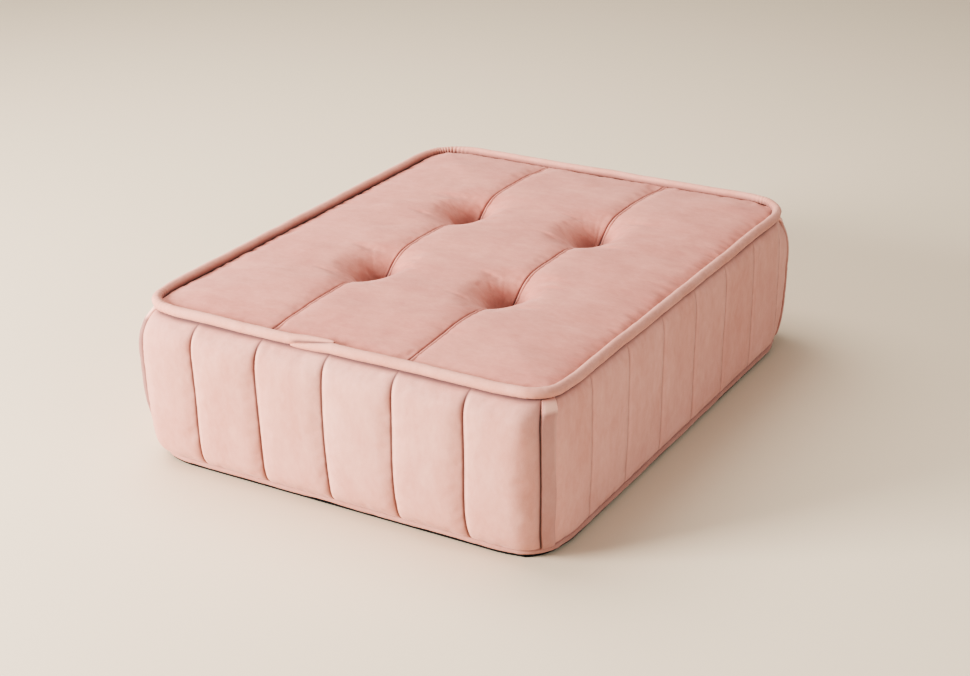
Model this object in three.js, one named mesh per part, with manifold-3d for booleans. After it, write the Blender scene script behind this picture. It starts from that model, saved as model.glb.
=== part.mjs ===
// A tufted floor cushion: a foam block in a quilted velvet cover, closed by a zip along the foot of its back.
//
// Frame: millimetres, +Z up, origin on the floor under the middle of the cushion.
// X is the width and Y the depth, with the front at -Y. The cover's four walls swell out between a seam
// under the top piping and a seam over the bottom piping, and two long seams cross the top from front to back.
// Four tufts pull those seams down into the foam with a cord each, tied off on a washer under the foam.

import * as THREE from "three";
import { mergeVertices } from "three/addons/utils/BufferGeometryUtils.js";
import Module from "manifold-3d";

const wasm = await Module();
wasm.setup();

// ---------------------------------------------------------------- driving dimensions

const WIDTH = 600; // across the top piping, from centre line to centre line
const DEPTH = 750;
const CORNER_RADIUS = 35; // of the walls in plan
const TOP_SEAM = 209.6; // height of the seam under the top piping
const BOTTOM_SEAM = 14.4; // height of the seam over the bottom piping
const SIDE_SWELL = 6; // how far the left and right walls swell out
const FRONT_SWELL = 24.5; // and the front and back ones
const CHANNEL_PITCH = 100; // of the quilted channels
const CHANNEL_PUFF = { front: 5, back: 5, right: 1.5, left: 1.5 }; // how far out of their stitch lines

const TOP_EDGE = 213.4; // height of the top panels where they meet the piping
const TOP_CROWN = 11; // rise of the top from its edge to its middle
const TOP_SEAM_X = 100; // the two long seams of the top
const TUFT_Y = 125; // the tufts lie on those seams
const TUFT_DEPTH = 44;
const TUFT_SIZE = { width: 25, length: 38 }; // from a dimple's middle to where two thirds of its depth are gone

const VELVET = 1.5; // thickness of the cover's fabric
const WADDING = 8;
const GAP = 0.3; // between touching pieces

const TOP_PIPING = { height: 217, outset: 0, radius: 7, sleeve: 1, cornerRadius: 48 };
const BOTTOM_PIPING = { height: 9, outset: -4, radius: 5, sleeve: 1, cornerRadius: 38 };
const FLANGE_THICKNESS = 2.4; // the folded strip sewn into each corner seam

const FOAM_FOOT = 3.5; // underside of the foam
const FOAM_JOINTS = [40, 150]; // glue lines between the foam's three layers
const FOAM_OFFSET = -11; // foam face, from the wall's outer face
const FOAM_RADIUS = 45; // of its corners in plan
const FOAM_CHAMFER = 6; // round its foot
const WALL_WADDING_TOP = 198;

const ZIP_SLOT = [22, 34]; // heights of the slot that shows the zip
const ZIP_HALF = 262; // half the length of that slot
const ZIP_INSET = 3.5; // zip's mid plane, behind the wall's outer face
const SLIDER_REST = 248; // the closed slider's place along X

// ---------------------------------------------------------------- derived shape functions

const clamp = THREE.MathUtils.clamp;
const HALF_WIDTH = WIDTH / 2;
const HALF_DEPTH = DEPTH / 2;
const [LOW_WALL, MIDDLE_WALL, HIGH_WALL] = [75, 110, 180]; // further levels that follow the walls' swell
const WALL_LEVELS = [
  BOTTOM_SEAM,
  ...ZIP_SLOT,
  FOAM_JOINTS[0],
  LOW_WALL,
  MIDDLE_WALL,
  FOAM_JOINTS[1],
  HIGH_WALL,
  WALL_WADDING_TOP,
  TOP_SEAM,
];

// Share of their swell that the walls have at a height. They come out sharply under the top piping,
// lean in a little lower down, and turn in at the foot.
function fullness(height) {
  const z = clamp(height, BOTTOM_SEAM, TOP_SEAM);
  const [over, under] = [z - BOTTOM_SEAM, TOP_SEAM - z];
  const lean = 1 - (0.1 * under) / (TOP_SEAM - BOTTOM_SEAM);
  return (1 - Math.exp(-(under + 2.5) / 10)) * (1 - 0.45 * Math.exp(-over / 20)) * lean;
}

const bump = (distance, width) => Math.exp(-((distance / width) ** 2));

// Height of the top's outer face.
function topHeight(x, y) {
  const edge = Math.min(HALF_WIDTH - Math.abs(x), HALF_DEPTH - Math.abs(y));
  const crown = TOP_CROWN * (1 - bump(Math.max(edge, 0), 90));
  const seam = 4 * bump(Math.abs(x) - TOP_SEAM_X, 24) * (1 - bump(edge, 40));
  const tuft = Math.hypot(
    (Math.abs(x) - TOP_SEAM_X) / TUFT_SIZE.width,
    (Math.abs(y) - TUFT_Y) / TUFT_SIZE.length,
  );
  return TOP_EDGE + crown - seam - TUFT_DEPTH * bump(tuft, 1);
}

// ---------------------------------------------------------------- solids from grids and stations

// A mesh's geometry from a list of points and a list of triangles.
function geometryOf(points, triangles) {
  const geometry = new THREE.BufferGeometry();
  geometry.setAttribute("position", new THREE.Float32BufferAttribute(points.flat(), 3));
  geometry.setIndex(triangles.flat());
  return geometry;
}

// A closed plate between two grids of points, outer(i, j) and inner(i, j).
// The directions of i and j run counterclockwise seen from outside.
function plate(columns, rows, outer, inner) {
  const points = [];
  const triangles = [];
  for (const face of [outer, inner])
    for (let i = 0; i < columns; i++) for (let j = 0; j < rows; j++) points.push(face(i, j));
  const at = (face, i, j) => (face * columns + i) * rows + j;
  const quad = (a, b, c, d) => triangles.push([a, b, c], [a, c, d]);
  for (let i = 0; i < columns - 1; i++)
    for (let j = 0; j < rows - 1; j++) {
      quad(at(0, i, j), at(0, i + 1, j), at(0, i + 1, j + 1), at(0, i, j + 1));
      quad(at(1, i, j), at(1, i, j + 1), at(1, i + 1, j + 1), at(1, i + 1, j));
    }
  for (let i = 0; i < columns - 1; i++) {
    quad(at(0, i, 0), at(1, i, 0), at(1, i + 1, 0), at(0, i + 1, 0));
    quad(at(0, i, rows - 1), at(0, i + 1, rows - 1), at(1, i + 1, rows - 1), at(1, i, rows - 1));
  }
  for (let j = 0; j < rows - 1; j++) {
    quad(at(0, 0, j), at(0, 0, j + 1), at(1, 0, j + 1), at(1, 0, j));
    quad(at(0, columns - 1, j), at(1, columns - 1, j), at(1, columns - 1, j + 1), at(0, columns - 1, j + 1));
  }
  return geometryOf(points, triangles);
}

// A station is a place on the cushion's outline in plan, with the outward normal there
// and its puff: 0 on a stitch line, 1 midway between two.
const station = (x, y, nx, ny, puff = 0) => ({ x, y, nx, ny, puff });
const moved = (s, out) => [s.x + s.nx * out, s.y + s.ny * out];

// A station, moved out to the walls' stitched face at a height.
const swollen = (s, z) => ({
  ...s,
  x: s.x + s.nx * SIDE_SWELL * fullness(z),
  y: s.y + s.ny * FRONT_SWELL * fullness(z),
});

// Stations round part of a corner, whose centre lies in the quadrant of (signX, signY).
function cornerStations(signX, signY, fromDegrees, toDegrees, radius, count) {
  const centre = [signX * (HALF_WIDTH - radius), signY * (HALF_DEPTH - radius)];
  return Array.from({ length: count }, (_, k) => {
    const angle = THREE.MathUtils.degToRad(fromDegrees + ((toDegrees - fromDegrees) * k) / (count - 1));
    const [nx, ny] = [Math.cos(angle), Math.sin(angle)];
    return station(centre[0] + radius * nx, centre[1] + radius * ny, nx, ny);
  });
}

const HALF_CORNER_COUNT = 3; // stations on half a corner
const CORNER_COUNT = 2 * HALF_CORNER_COUNT - 1;
const GROOVE = 14; // half width of the groove that a stitch line draws between two channels
// The four walls, counterclockwise from above: the outward normal's angle and the corners at both ends.
const WALLS = {
  front: { angle: 270, start: [-1, -1], end: [1, -1] },
  right: { angle: 0, start: [1, -1], end: [1, 1] },
  back: { angle: 90, start: [1, 1], end: [-1, 1] },
  left: { angle: 180, start: [-1, 1], end: [-1, -1] },
};

// Places of the stitch lines between channels, along the wall's own axis.
function channelLines(wall) {
  if (wall === "front" || wall === "back")
    return [-2, -1, 0, 1, 2].map((k) => k * CHANNEL_PITCH);
  return [1, 2, 3, 4, 5, 6, 7].map((k) => k * CHANNEL_PITCH - HALF_DEPTH);
}

// The two half corners of a wall, from its corner seams to its straight part.
function cornerArcs(wall) {
  const { angle, start, end } = WALLS[wall];
  return [
    cornerStations(...start, angle - 45, angle, CORNER_RADIUS, HALF_CORNER_COUNT),
    cornerStations(...end, angle, angle + 45, CORNER_RADIUS, HALF_CORNER_COUNT),
  ];
}

// Stations of a wall from corner seam to corner seam.
function wallStations(wall) {
  const { angle } = WALLS[wall];
  const radians = THREE.MathUtils.degToRad(angle);
  const [nx, ny] = [Math.round(Math.cos(radians)), Math.round(Math.sin(radians))];
  const alongX = nx === 0;
  const reach = (alongX ? HALF_WIDTH : HALF_DEPTH) - CORNER_RADIUS;
  const ends = [-reach, ...channelLines(wall), reach];
  const channels = ends.slice(1).map((end, k) => [ends[k], end]);
  const profile = channels.flatMap(([from, to]) => {
    const side = Math.min(GROOVE, (to - from) / 3);
    const puff = side / GROOVE;
    return [
      { place: from, puff: 0 },
      { place: from + side, puff },
      { place: to - side, puff },
    ];
  });
  const straight = [...profile, { place: reach, puff: 0 }]
    .map(({ place, puff }) =>
      alongX
        ? station(place, ny * HALF_DEPTH, nx, ny, puff)
        : station(nx * HALF_WIDTH, place, nx, ny, puff),
    );
  if (angle === 90 || angle === 180) straight.reverse();
  const [startArc, endArc] = cornerArcs(wall);
  return [...startArc.slice(0, -1), ...straight, ...endArc.slice(1)];
}

const PUFF_REACH = 20; // how far from a wall's upper and lower seam its channels are full

// A sheet that follows a wall, between two levels and two distances out from the wall's stitched face.
function wallSheet(stations, levels, outer, inner, puff = 0) {
  const point = (out, puffed) => (i, j) => {
    const s = stations[i];
    const z = levels[j];
    const rise = puffed * s.puff * Math.min(1, (z - BOTTOM_SEAM) / PUFF_REACH, (TOP_SEAM - z) / PUFF_REACH);
    return [...moved(swollen(s, z), out + rise), z];
  };
  return plate(stations.length, levels.length, point(outer, puff), point(inner, puff));
}

// Pulls the ends of a run of stations in, so that neighbours across a corner seam keep their gap.
function trimmed(stations, gap) {
  const shift = (s, towards) => {
    const length = Math.hypot(towards.x - s.x, towards.y - s.y);
    const share = gap / length;
    return { ...s, x: s.x + (towards.x - s.x) * share, y: s.y + (towards.y - s.y) * share };
  };
  const last = stations.length - 1;
  return stations.map((s, i) =>
    i === 0 ? shift(s, stations[1]) : i === last ? shift(s, stations[last - 1]) : s,
  );
}

// Stations all the way round, for a corner radius.
function outline(radius) {
  return [
    [-1, -1, 180],
    [1, -1, 270],
    [1, 1, 0],
    [-1, 1, 90],
  ].flatMap(([signX, signY, angle]) => cornerStations(signX, signY, angle, angle + 90, radius, CORNER_COUNT));
}

// A closed body of stacked outlines, each a level with its distance out from the walls' stitched face.
function stack(levels, radius) {
  const ring = outline(radius);
  const points = levels.flatMap(({ z, out }) => ring.map((s) => [...moved(swollen(s, z), out), z]));
  const n = ring.length;
  const triangles = [];
  for (let k = 0; k < levels.length - 1; k++)
    for (let i = 0; i < n; i++) {
      const [a, b] = [k * n + i, k * n + ((i + 1) % n)];
      triangles.push([a, b, b + n], [a, b + n, a + n]);
    }
  const top = (levels.length - 1) * n;
  for (let i = 1; i < n - 1; i++) triangles.push([0, i + 1, i], [top, top + i, top + i + 1]);
  return geometryOf(points, triangles);
}

// A section swept along stations, with [distance out, height] points. Closed runs back to its first station.
function sweep(stations, section, closed) {
  const points = stations.flatMap((s) => section.map(([out, z]) => [...moved(s, out), z]));
  const m = section.length;
  const runs = closed ? stations.length : stations.length - 1;
  const triangles = [];
  for (let i = 0; i < runs; i++)
    for (let j = 0; j < m; j++) {
      const [a, b] = [i * m + j, i * m + ((j + 1) % m)];
      const next = (((i + 1) % stations.length) - i) * m;
      triangles.push([a, a + next, b + next], [a, b + next, b]);
    }
  if (!closed) {
    const last = (stations.length - 1) * m;
    const faces = THREE.ShapeUtils.triangulateShape(section.map(([x, y]) => new THREE.Vector2(x, y)), []);
    for (const [a, b, c] of faces) triangles.push([a, b, c], [last + a, last + c, last + b]);
  }
  return geometryOf(points, triangles);
}

// ---------------------------------------------------------------- joins and cuts

function solid(geometry) {
  const bare = geometry.clone();
  bare.deleteAttribute("normal");
  bare.deleteAttribute("uv");
  const merged = mergeVertices(bare, 1e-4);
  return new wasm.Manifold(
    new wasm.Mesh({
      numProp: 3,
      vertProperties: new Float32Array(merged.attributes.position.array),
      triVerts: new Uint32Array(merged.index.array),
    }),
  );
}

function geometry(body) {
  const mesh = body.getMesh();
  const made = new THREE.BufferGeometry();
  made.setAttribute("position", new THREE.BufferAttribute(mesh.vertProperties, 3));
  made.setIndex(new THREE.BufferAttribute(mesh.triVerts, 1));
  return made;
}

const cut = (from, tools) => geometry(tools.reduce((body, tool) => body.subtract(solid(tool)), solid(from)));
const common = (a, b) => geometry(solid(a).intersect(solid(b)));
const join = (...parts) => geometry(parts.map(solid).reduce((a, b) => a.add(b)));

// A box from its lowest and highest corner.
function box(low, high) {
  const size = high.map((h, k) => h - low[k]);
  return new THREE.BoxGeometry(...size).translate(...low.map((l, k) => l + size[k] / 2));
}

// An upright cylinder.
function post(x, y, radius, bottom, top, sides) {
  return new THREE.CylinderGeometry(radius, radius, top - bottom, sides)
    .rotateX(Math.PI / 2)
    .translate(x, y, (bottom + top) / 2);
}

// ---------------------------------------------------------------- materials

const material = (color, roughness, metalness = 0) =>
  new THREE.MeshStandardMaterial({ color, roughness, metalness });

const MATERIALS = {
  velvet: material("#dcb4a8", 0.85),
  wadding: material("#f4f2ec", 1),
  comfortFoam: material("#f3ead0", 0.95),
  coreFoam: material("#e8dcae", 0.95),
  baseFoam: material("#a9b7c4", 0.95),
  pipingCord: material("#f2efe8", 0.9),
  bottomFabric: material("#1d1c1c", 0.9),
  twine: material("#efe9da", 0.8),
  webbing: material("#e9e2d6", 0.85),
  washer: material("#f1f1ee", 0.45),
  zipTape: material("#c99a8e", 0.8),
  zipMetal: material("#b5a59d", 0.3, 0.9),
};

const cushion = new THREE.Group();

function place(name, shape, finish, group = cushion) {
  const mesh = new THREE.Mesh(shape, MATERIALS[finish]);
  mesh.name = name;
  group.add(mesh);
  return mesh;
}

// ---------------------------------------------------------------- top: three panels and their wadding

const TUFTS = [
  { name: "front_left", x: -TOP_SEAM_X, y: -TUFT_Y },
  { name: "front_right", x: TOP_SEAM_X, y: -TUFT_Y },
  { name: "back_left", x: -TOP_SEAM_X, y: TUFT_Y },
  { name: "back_right", x: TOP_SEAM_X, y: TUFT_Y },
];
const AROUND_TUFT = [-44, -26, -12, 0, 12, 26, 44]; // grid lines round a tuft

// Grid lines over one half of the top, mirrored to the other half.
function mirroredLines(half, reach, rounding) {
  const positive = [...half, reach - rounding, reach - rounding * 0.3, reach];
  const lines = new Set([...positive.map((v) => -v), ...positive]);
  return [...lines].sort((a, b) => a - b);
}

// A plate from a depth `over` under the top's outer face down to the height that `lower` gives.
function topPlate(inset, over, lower, between = [-Infinity, Infinity]) {
  const [halfX, halfY] = [HALF_WIDTH - inset, HALF_DEPTH - inset];
  const rounding = TOP_PIPING.cornerRadius - inset;
  const alongX = mirroredLines([...AROUND_TUFT.map((d) => TOP_SEAM_X + d), 205], halfX, rounding);
  const alongY = mirroredLines([0, ...AROUND_TUFT.map((d) => TUFT_Y + d), 225, 300], halfY, rounding);
  const xs = [...new Set([...alongX, ...between].filter(Number.isFinite))]
    .filter((x) => x >= between[0] && x <= between[1])
    .filter((x) => between.includes(x) || between.every((b) => Math.abs(x - b) > 2 * GAP))
    .sort((a, b) => a - b);
  const clampToCorner = (x, y) => {
    const [cx, cy] = [halfX - rounding, halfY - rounding];
    const [dx, dy] = [Math.abs(x) - cx, Math.abs(y) - cy];
    const reach = Math.hypot(dx, dy);
    if (dx <= 0 || dy <= 0 || reach <= rounding) return [x, y];
    return [Math.sign(x) * (cx + (dx * rounding) / reach), Math.sign(y) * (cy + (dy * rounding) / reach)];
  };
  const upper = (i, j) => {
    const [x, y] = clampToCorner(xs[i], alongY[j]);
    return [x, y, topHeight(x, y) - over];
  };
  const below = (i, j) => {
    const [x, y] = clampToCorner(xs[i], alongY[j]);
    return [x, y, lower(x, y)];
  };
  return plate(xs.length, alongY.length, upper, below);
}

const PANEL_INSET = 7.5;
const panelSplits = {
  left: [-Infinity, -TOP_SEAM_X - GAP / 2],
  centre: [-TOP_SEAM_X + GAP / 2, TOP_SEAM_X - GAP / 2],
  right: [TOP_SEAM_X + GAP / 2, Infinity],
};
for (const [side, between] of Object.entries(panelSplits))
  place(
    `top_panel_${side}`,
    topPlate(PANEL_INSET, 0, (x, y) => topHeight(x, y) - VELVET, between),
    "velvet",
  );

const LOOP_HOLE = 9; // half width of the hole that each tuft takes through wadding and foam
const TUFT_HOLES = TUFTS.map((t) => post(t.x, t.y, LOOP_HOLE, 0, TOP_EDGE + TOP_CROWN, 12));

const WADDING_TOP = VELVET + GAP;
const TOP_SOFT_INSET = 12.5;
place(
  "top_wadding",
  cut(
    topPlate(TOP_SOFT_INSET, WADDING_TOP, (x, y) => topHeight(x, y) - WADDING_TOP - WADDING),
    TUFT_HOLES,
  ),
  "wadding",
);

// ---------------------------------------------------------------- walls: quilted velvet with wadding behind

for (const wall of ["front", "right", "left"]) {
  const stations = trimmed(wallStations(wall), GAP);
  place(`${wall}_boxing`, wallSheet(stations, WALL_LEVELS, 0, -VELVET, CHANNEL_PUFF[wall]), "velvet");
}
const backStations = trimmed(wallStations("back"), GAP);
const aboveZip = WALL_LEVELS.filter((z) => z >= ZIP_SLOT[1]);
place("back_boxing", wallSheet(backStations, aboveZip, 0, -VELVET, CHANNEL_PUFF.back), "velvet");
const underZip = [BOTTOM_SEAM, ZIP_SLOT[0]];
place("back_zip_band", wallSheet(backStations, underZip, 0, -VELVET, CHANNEL_PUFF.back), "velvet");

// Tabs that close the slot past both ends of the zip.
const tabLevels = [ZIP_SLOT[0] + GAP, ZIP_SLOT[1] - GAP];
const slotEnd = (x) => station(x, HALF_DEPTH, 0, 1);
const tabStations = {
  right: [...backStations.slice(0, HALF_CORNER_COUNT), slotEnd(ZIP_HALF)],
  left: [slotEnd(-ZIP_HALF), ...backStations.slice(-HALF_CORNER_COUNT)],
};
for (const [side, stations] of Object.entries(tabStations))
  place(`zip_end_tab_${side}`, wallSheet(stations, tabLevels, 0, -VELVET), "velvet");

const WALL_WADDING_OUT = -2.8; // its outer face, from the walls' stitched face
const WALL_WADDING_GAP = 4; // at the corner seams
const ABOVE_TAPES = 44; // foot of the back wall's wadding
for (const wall of Object.keys(WALLS)) {
  const stations = trimmed(cornerArcs(wall).flat(), WALL_WADDING_GAP);
  const foot = wall === "back" ? ABOVE_TAPES : ZIP_SLOT[0];
  const levels = [foot, ...WALL_LEVELS.filter((z) => z > foot && z < WALL_WADDING_TOP), WALL_WADDING_TOP];
  place(`${wall}_wadding`, wallSheet(stations, levels, WALL_WADDING_OUT, FOAM_OFFSET + GAP), "wadding");
}

// ---------------------------------------------------------------- corner flanges and piping

// Each flange is sewn into a corner seam and folded over half the corner, towards the side wall.
const flangeArcs = {
  front_left: [-1, -1, 183, 222],
  front_right: [1, -1, 318, 357],
  back_left: [-1, 1, 138, 177],
  back_right: [1, 1, 3, 42],
};
const FLANGE_SHORT = 2; // how much they stop short of the walls' seams
const FLANGE_OFFSET = 0.6; // from the walls' stitched face
const flangeLevels = WALL_LEVELS.map((z) => clamp(z, BOTTOM_SEAM + FLANGE_SHORT, TOP_SEAM - FLANGE_SHORT));
for (const [corner, [signX, signY, from, to]] of Object.entries(flangeArcs)) {
  const stations = cornerStations(signX, signY, from, to, CORNER_RADIUS, HALF_CORNER_COUNT + 1);
  place(
    `corner_flange_${corner}`,
    wallSheet(stations, flangeLevels, FLANGE_OFFSET + FLANGE_THICKNESS, FLANGE_OFFSET),
    "velvet",
  );
}

// Piping is a cord in a folded strip of velvet. The strip stays open along its seam, towards the cushion,
// and its two ends meet on the front edge.
const PIPING_JOINT_X = -30;
const PIPING_SIDES = 8;

function pipingSection(outset, height, radius, sides, from = 0, to = 360) {
  const whole = to - from === 360;
  const count = whole ? sides : sides + 1;
  return Array.from({ length: count }, (_, k) => {
    const angle = THREE.MathUtils.degToRad(from + ((to - from) * k) / sides);
    return [outset + radius * Math.cos(angle), height + radius * Math.sin(angle)];
  });
}

for (const [where, spec] of Object.entries({ top: TOP_PIPING, bottom: BOTTOM_PIPING })) {
  const { height, outset, radius, sleeve, cornerRadius } = spec;
  const seam = where === "top" ? (s) => s : (s) => swollen(s, height);
  const ring = outline(cornerRadius).map(seam);
  const cordRadius = radius - sleeve - 2 * GAP;
  place(
    `${where}_piping_cord`,
    sweep(ring, pipingSection(outset, height, cordRadius, PIPING_SIDES - 2), true),
    "pipingCord",
  );
  const [openFrom, openTo] = [-150, 150];
  const folded = [
    ...pipingSection(outset, height, radius, PIPING_SIDES, openFrom, openTo),
    ...pipingSection(outset, height, radius - sleeve, PIPING_SIDES, openTo, openFrom),
  ];
  const jointEnd = (x) => seam(station(x, -HALF_DEPTH, 0, -1));
  const firstCorner = ring.slice(0, CORNER_COUNT);
  const otherCorners = ring.slice(CORNER_COUNT);
  const run = [jointEnd(PIPING_JOINT_X + 1), ...otherCorners, ...firstCorner, jointEnd(PIPING_JOINT_X - 1)];
  place(`${where}_piping_sleeve`, sweep(run, folded, false), "velvet");
}

// ---------------------------------------------------------------- bottom panel

const BOTTOM_THICKNESS = 1.5;
const BOTTOM_OUT = -7; // its edge, from the walls' stitched face
place(
  "bottom_panel",
  stack(
    [
      { z: 0, out: BOTTOM_OUT },
      { z: BOTTOM_THICKNESS, out: BOTTOM_OUT },
    ],
    BOTTOM_PIPING.cornerRadius,
  ),
  "bottomFabric",
);

// ---------------------------------------------------------------- foam: three layers glued together

const [BASE_TOP, CORE_TOP] = FOAM_JOINTS;
const foamLevel = (z) => ({ z, out: FOAM_OFFSET });
const RECESS = { radius: 17, top: 18 }; // under the base layer, for a washer and its knot
const underComfortLayer = box([-WIDTH, -DEPTH, 0], [WIDTH, DEPTH, CORE_TOP + GAP]);
const comfortPlate = (inset) => topPlate(inset, WADDING_TOP + WADDING + GAP, () => BASE_TOP);
const COMFORT_REACH = 14; // further than the layer's flanks stand out past the top piping's centre line
const comfortFlanks = stack(
  [...[CORE_TOP + GAP, HIGH_WALL].map(foamLevel), { z: WALL_WADDING_TOP, out: 2 * FOAM_OFFSET }],
  FOAM_RADIUS,
);
place(
  "foam_comfort_layer",
  cut(
    join(comfortPlate(TOP_SOFT_INSET), common(comfortPlate(-COMFORT_REACH), comfortFlanks)),
    [underComfortLayer, ...TUFT_HOLES],
  ),
  "comfortFoam",
);
place(
  "foam_core",
  cut(stack([BASE_TOP + GAP, LOW_WALL, MIDDLE_WALL, CORE_TOP].map(foamLevel), FOAM_RADIUS), TUFT_HOLES),
  "coreFoam",
);
const baseLevels = [
  { z: FOAM_FOOT, out: FOAM_OFFSET - FOAM_CHAMFER },
  ...[BOTTOM_SEAM, ...ZIP_SLOT, BASE_TOP].map(foamLevel),
];
const recesses = TUFTS.map((t) => post(t.x, t.y, RECESS.radius, 0, RECESS.top, 16));
place(
  "foam_base_layer",
  cut(stack(baseLevels, FOAM_RADIUS), [...TUFT_HOLES, ...recesses]),
  "baseFoam",
);

// ---------------------------------------------------------------- tufts: loop, cord and washer

const LOOP = { width: 12, thickness: 1, length: 22, hole: 3.5, holeAbove: 5.5 };
const CORD_RADIUS = 1;
const LEG = 4; // each of the cord's two legs, from the tuft's axis
const WASHER = { radius: 15, thickness: 3.2, hole: 1.5, bottom: 13.8 };
const KNOT = { radius: 5.4, height: 2.6, centre: 10 };
const loopTop = topHeight(TOP_SEAM_X, TUFT_Y) - WADDING_TOP;
const loopEye = loopTop - LOOP.length + LOOP.holeAbove;

// A webbing tab, sewn to the seam above it, with an eye for the cord.
function loopShape() {
  const half = LOOP.width / 2;
  const outlineShape = new THREE.Shape();
  outlineShape.moveTo(-half, loopTop);
  outlineShape.lineTo(-half, loopTop - LOOP.length + half);
  outlineShape.absarc(0, loopTop - LOOP.length + half, half, Math.PI, 2 * Math.PI, false);
  outlineShape.lineTo(half, loopTop);
  const eye = new THREE.Path().absarc(0, loopEye, LOOP.hole, 0, 2 * Math.PI, true);
  outlineShape.holes.push(eye);
  const settings = { depth: LOOP.thickness, bevelEnabled: false, curveSegments: 4 };
  return new THREE.ExtrudeGeometry(outlineShape, settings)
    .translate(0, 0, -LOOP.thickness / 2)
    .rotateX(Math.PI / 2)
    .rotateZ(Math.PI / 2);
}

// A hairpin of cord that pulls on the lower edge of the loop's eye, with a knot under the washer.
function cordShape() {
  const bend = loopEye - LOOP.hole + CORD_RADIUS + GAP - LEG;
  const arc = Array.from({ length: 7 }, (_, k) => {
    const angle = Math.PI - (Math.PI * k) / 6;
    return new THREE.Vector3(LEG * Math.cos(angle), 0, bend + LEG * Math.sin(angle));
  });
  const foot = (side) => new THREE.Vector3(side * LEG, 0, KNOT.centre);
  const route = [foot(-1), ...arc, foot(1)];
  const section = Array.from({ length: 6 }, (_, k) => {
    const angle = (Math.PI * k) / 3;
    return [CORD_RADIUS * Math.cos(angle), CORD_RADIUS * Math.sin(angle)];
  });
  const across = new THREE.Vector3(0, 1, 0);
  const points = route.flatMap((p, i) => {
    const before = route[Math.max(i - 1, 0)];
    const after = route[Math.min(i + 1, route.length - 1)];
    const along = after.clone().sub(before).normalize();
    const side = along.clone().cross(across);
    return section.map(([a, b]) => p.clone().addScaledVector(side, a).addScaledVector(across, b).toArray());
  });
  const m = section.length;
  const triangles = [];
  for (let i = 0; i < route.length - 1; i++)
    for (let j = 0; j < m; j++) {
      const [a, b] = [i * m + j, i * m + ((j + 1) % m)];
      triangles.push([a, b + m, b], [a, a + m, b + m]);
    }
  const last = (route.length - 1) * m;
  for (let j = 1; j < m - 1; j++) triangles.push([0, j, j + 1], [last, last + j + 1, last + j]);
  const knot = new THREE.SphereGeometry(KNOT.radius, 8, 4).rotateX(Math.PI / 2);
  knot.scale(1, 0.6, KNOT.height / KNOT.radius).translate(0, 0, KNOT.centre);
  return join(geometryOf(points, triangles), knot);
}

function washerShape() {
  const disc = new THREE.Shape().absarc(0, 0, WASHER.radius, 0, 2 * Math.PI, false);
  for (const side of [-1, 1])
    disc.holes.push(new THREE.Path().absarc(side * LEG, 0, WASHER.hole, 0, 2 * Math.PI, true));
  return new THREE.ExtrudeGeometry(disc, { depth: WASHER.thickness, bevelEnabled: false, curveSegments: 6 });
}

for (const { name, x, y } of TUFTS) {
  const tuft = new THREE.Group();
  tuft.position.set(x, y, 0);
  cushion.add(tuft);
  place(`tuft_loop_${name}`, loopShape(), "webbing", tuft);
  place(`tuft_cord_${name}`, cordShape(), "twine", tuft);
  place(`tuft_washer_${name}`, washerShape(), "washer", tuft).position.z = WASHER.bottom;
}

// ---------------------------------------------------------------- zip

// The zip's own frame: x along the zip, y out of the cushion and z up the back wall, which leans out there.
const zipMiddle = (ZIP_SLOT[0] + ZIP_SLOT[1]) / 2;
const backFace = (z) => FRONT_SWELL * fullness(z);
const zip = new THREE.Group();
zip.position.set(0, HALF_DEPTH + backFace(zipMiddle) - ZIP_INSET, zipMiddle);
zip.rotation.x = -Math.atan2(backFace(ZIP_SLOT[1]) - backFace(ZIP_SLOT[0]), ZIP_SLOT[1] - ZIP_SLOT[0]);
cushion.add(zip);

const TAPE = { half: 260, thickness: 0.7, width: 12 };
const COIL = { inner: 0.8, outer: 3.3, half: 1.4 };
const SLIDER = { half: 5.5, wide: 4.5, plate: [1.75, 2.95], slot: 0.7, lip: 3.6 };
const BAIL = { half: 4, wide: 0.8, bar: [5, 6] };
const PULL = { pin: 0.55, hub: [1.4, 2.4], web: 5.2, end: 27, half: 4, thickness: 1.1 };

// One tape with its row of coil teeth, above the zip's centre line (side 1) or below it (side -1).
function tapeShape(side) {
  const flat = TAPE.thickness / 2;
  const profile = [
    [COIL.inner, -COIL.half],
    [COIL.outer, -COIL.half],
    [COIL.outer, -flat],
    [TAPE.width, -flat],
    [TAPE.width, flat],
    [COIL.outer, flat],
    [COIL.outer, COIL.half],
    [COIL.inner, COIL.half],
  ];
  const shape = new THREE.Shape(profile.map(([z, y]) => new THREE.Vector2(y, side * z)));
  return new THREE.ExtrudeGeometry(shape, { depth: 2 * TAPE.half, bevelEnabled: false })
    .translate(0, 0, -TAPE.half)
    .applyMatrix4(new THREE.Matrix4().makeBasis(
      new THREE.Vector3(0, 1, 0),
      new THREE.Vector3(0, 0, 1),
      new THREE.Vector3(1, 0, 0),
    ));
}
place("zip_tape_upper", tapeShape(1), "zipTape", zip);
place("zip_tape_lower", tapeShape(-1), "zipTape", zip);

// A stop is a clip on a row of teeth: over it and under it, joined round its inner edge.
function stopShape(fromZ, toZ) {
  const [reach, skin] = [COIL.half + 0.3, 0.5];
  const clip = box([-1.5, -reach - skin, fromZ], [1.5, reach + skin, toZ]);
  const [low, high] = fromZ < 0 ? [fromZ - 1, toZ - 0.4] : [fromZ + 0.4, toZ + 1];
  const room = box([-2, -reach, low], [2, reach, high]);
  return cut(clip, [room]);
}
const STOP_X = 255.5;
place("zip_top_stop_upper", stopShape(0.15, COIL.outer), "zipMetal", zip).position.x = STOP_X;
place("zip_top_stop_lower", stopShape(-COIL.outer, -0.15), "zipMetal", zip).position.x = STOP_X;

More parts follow.
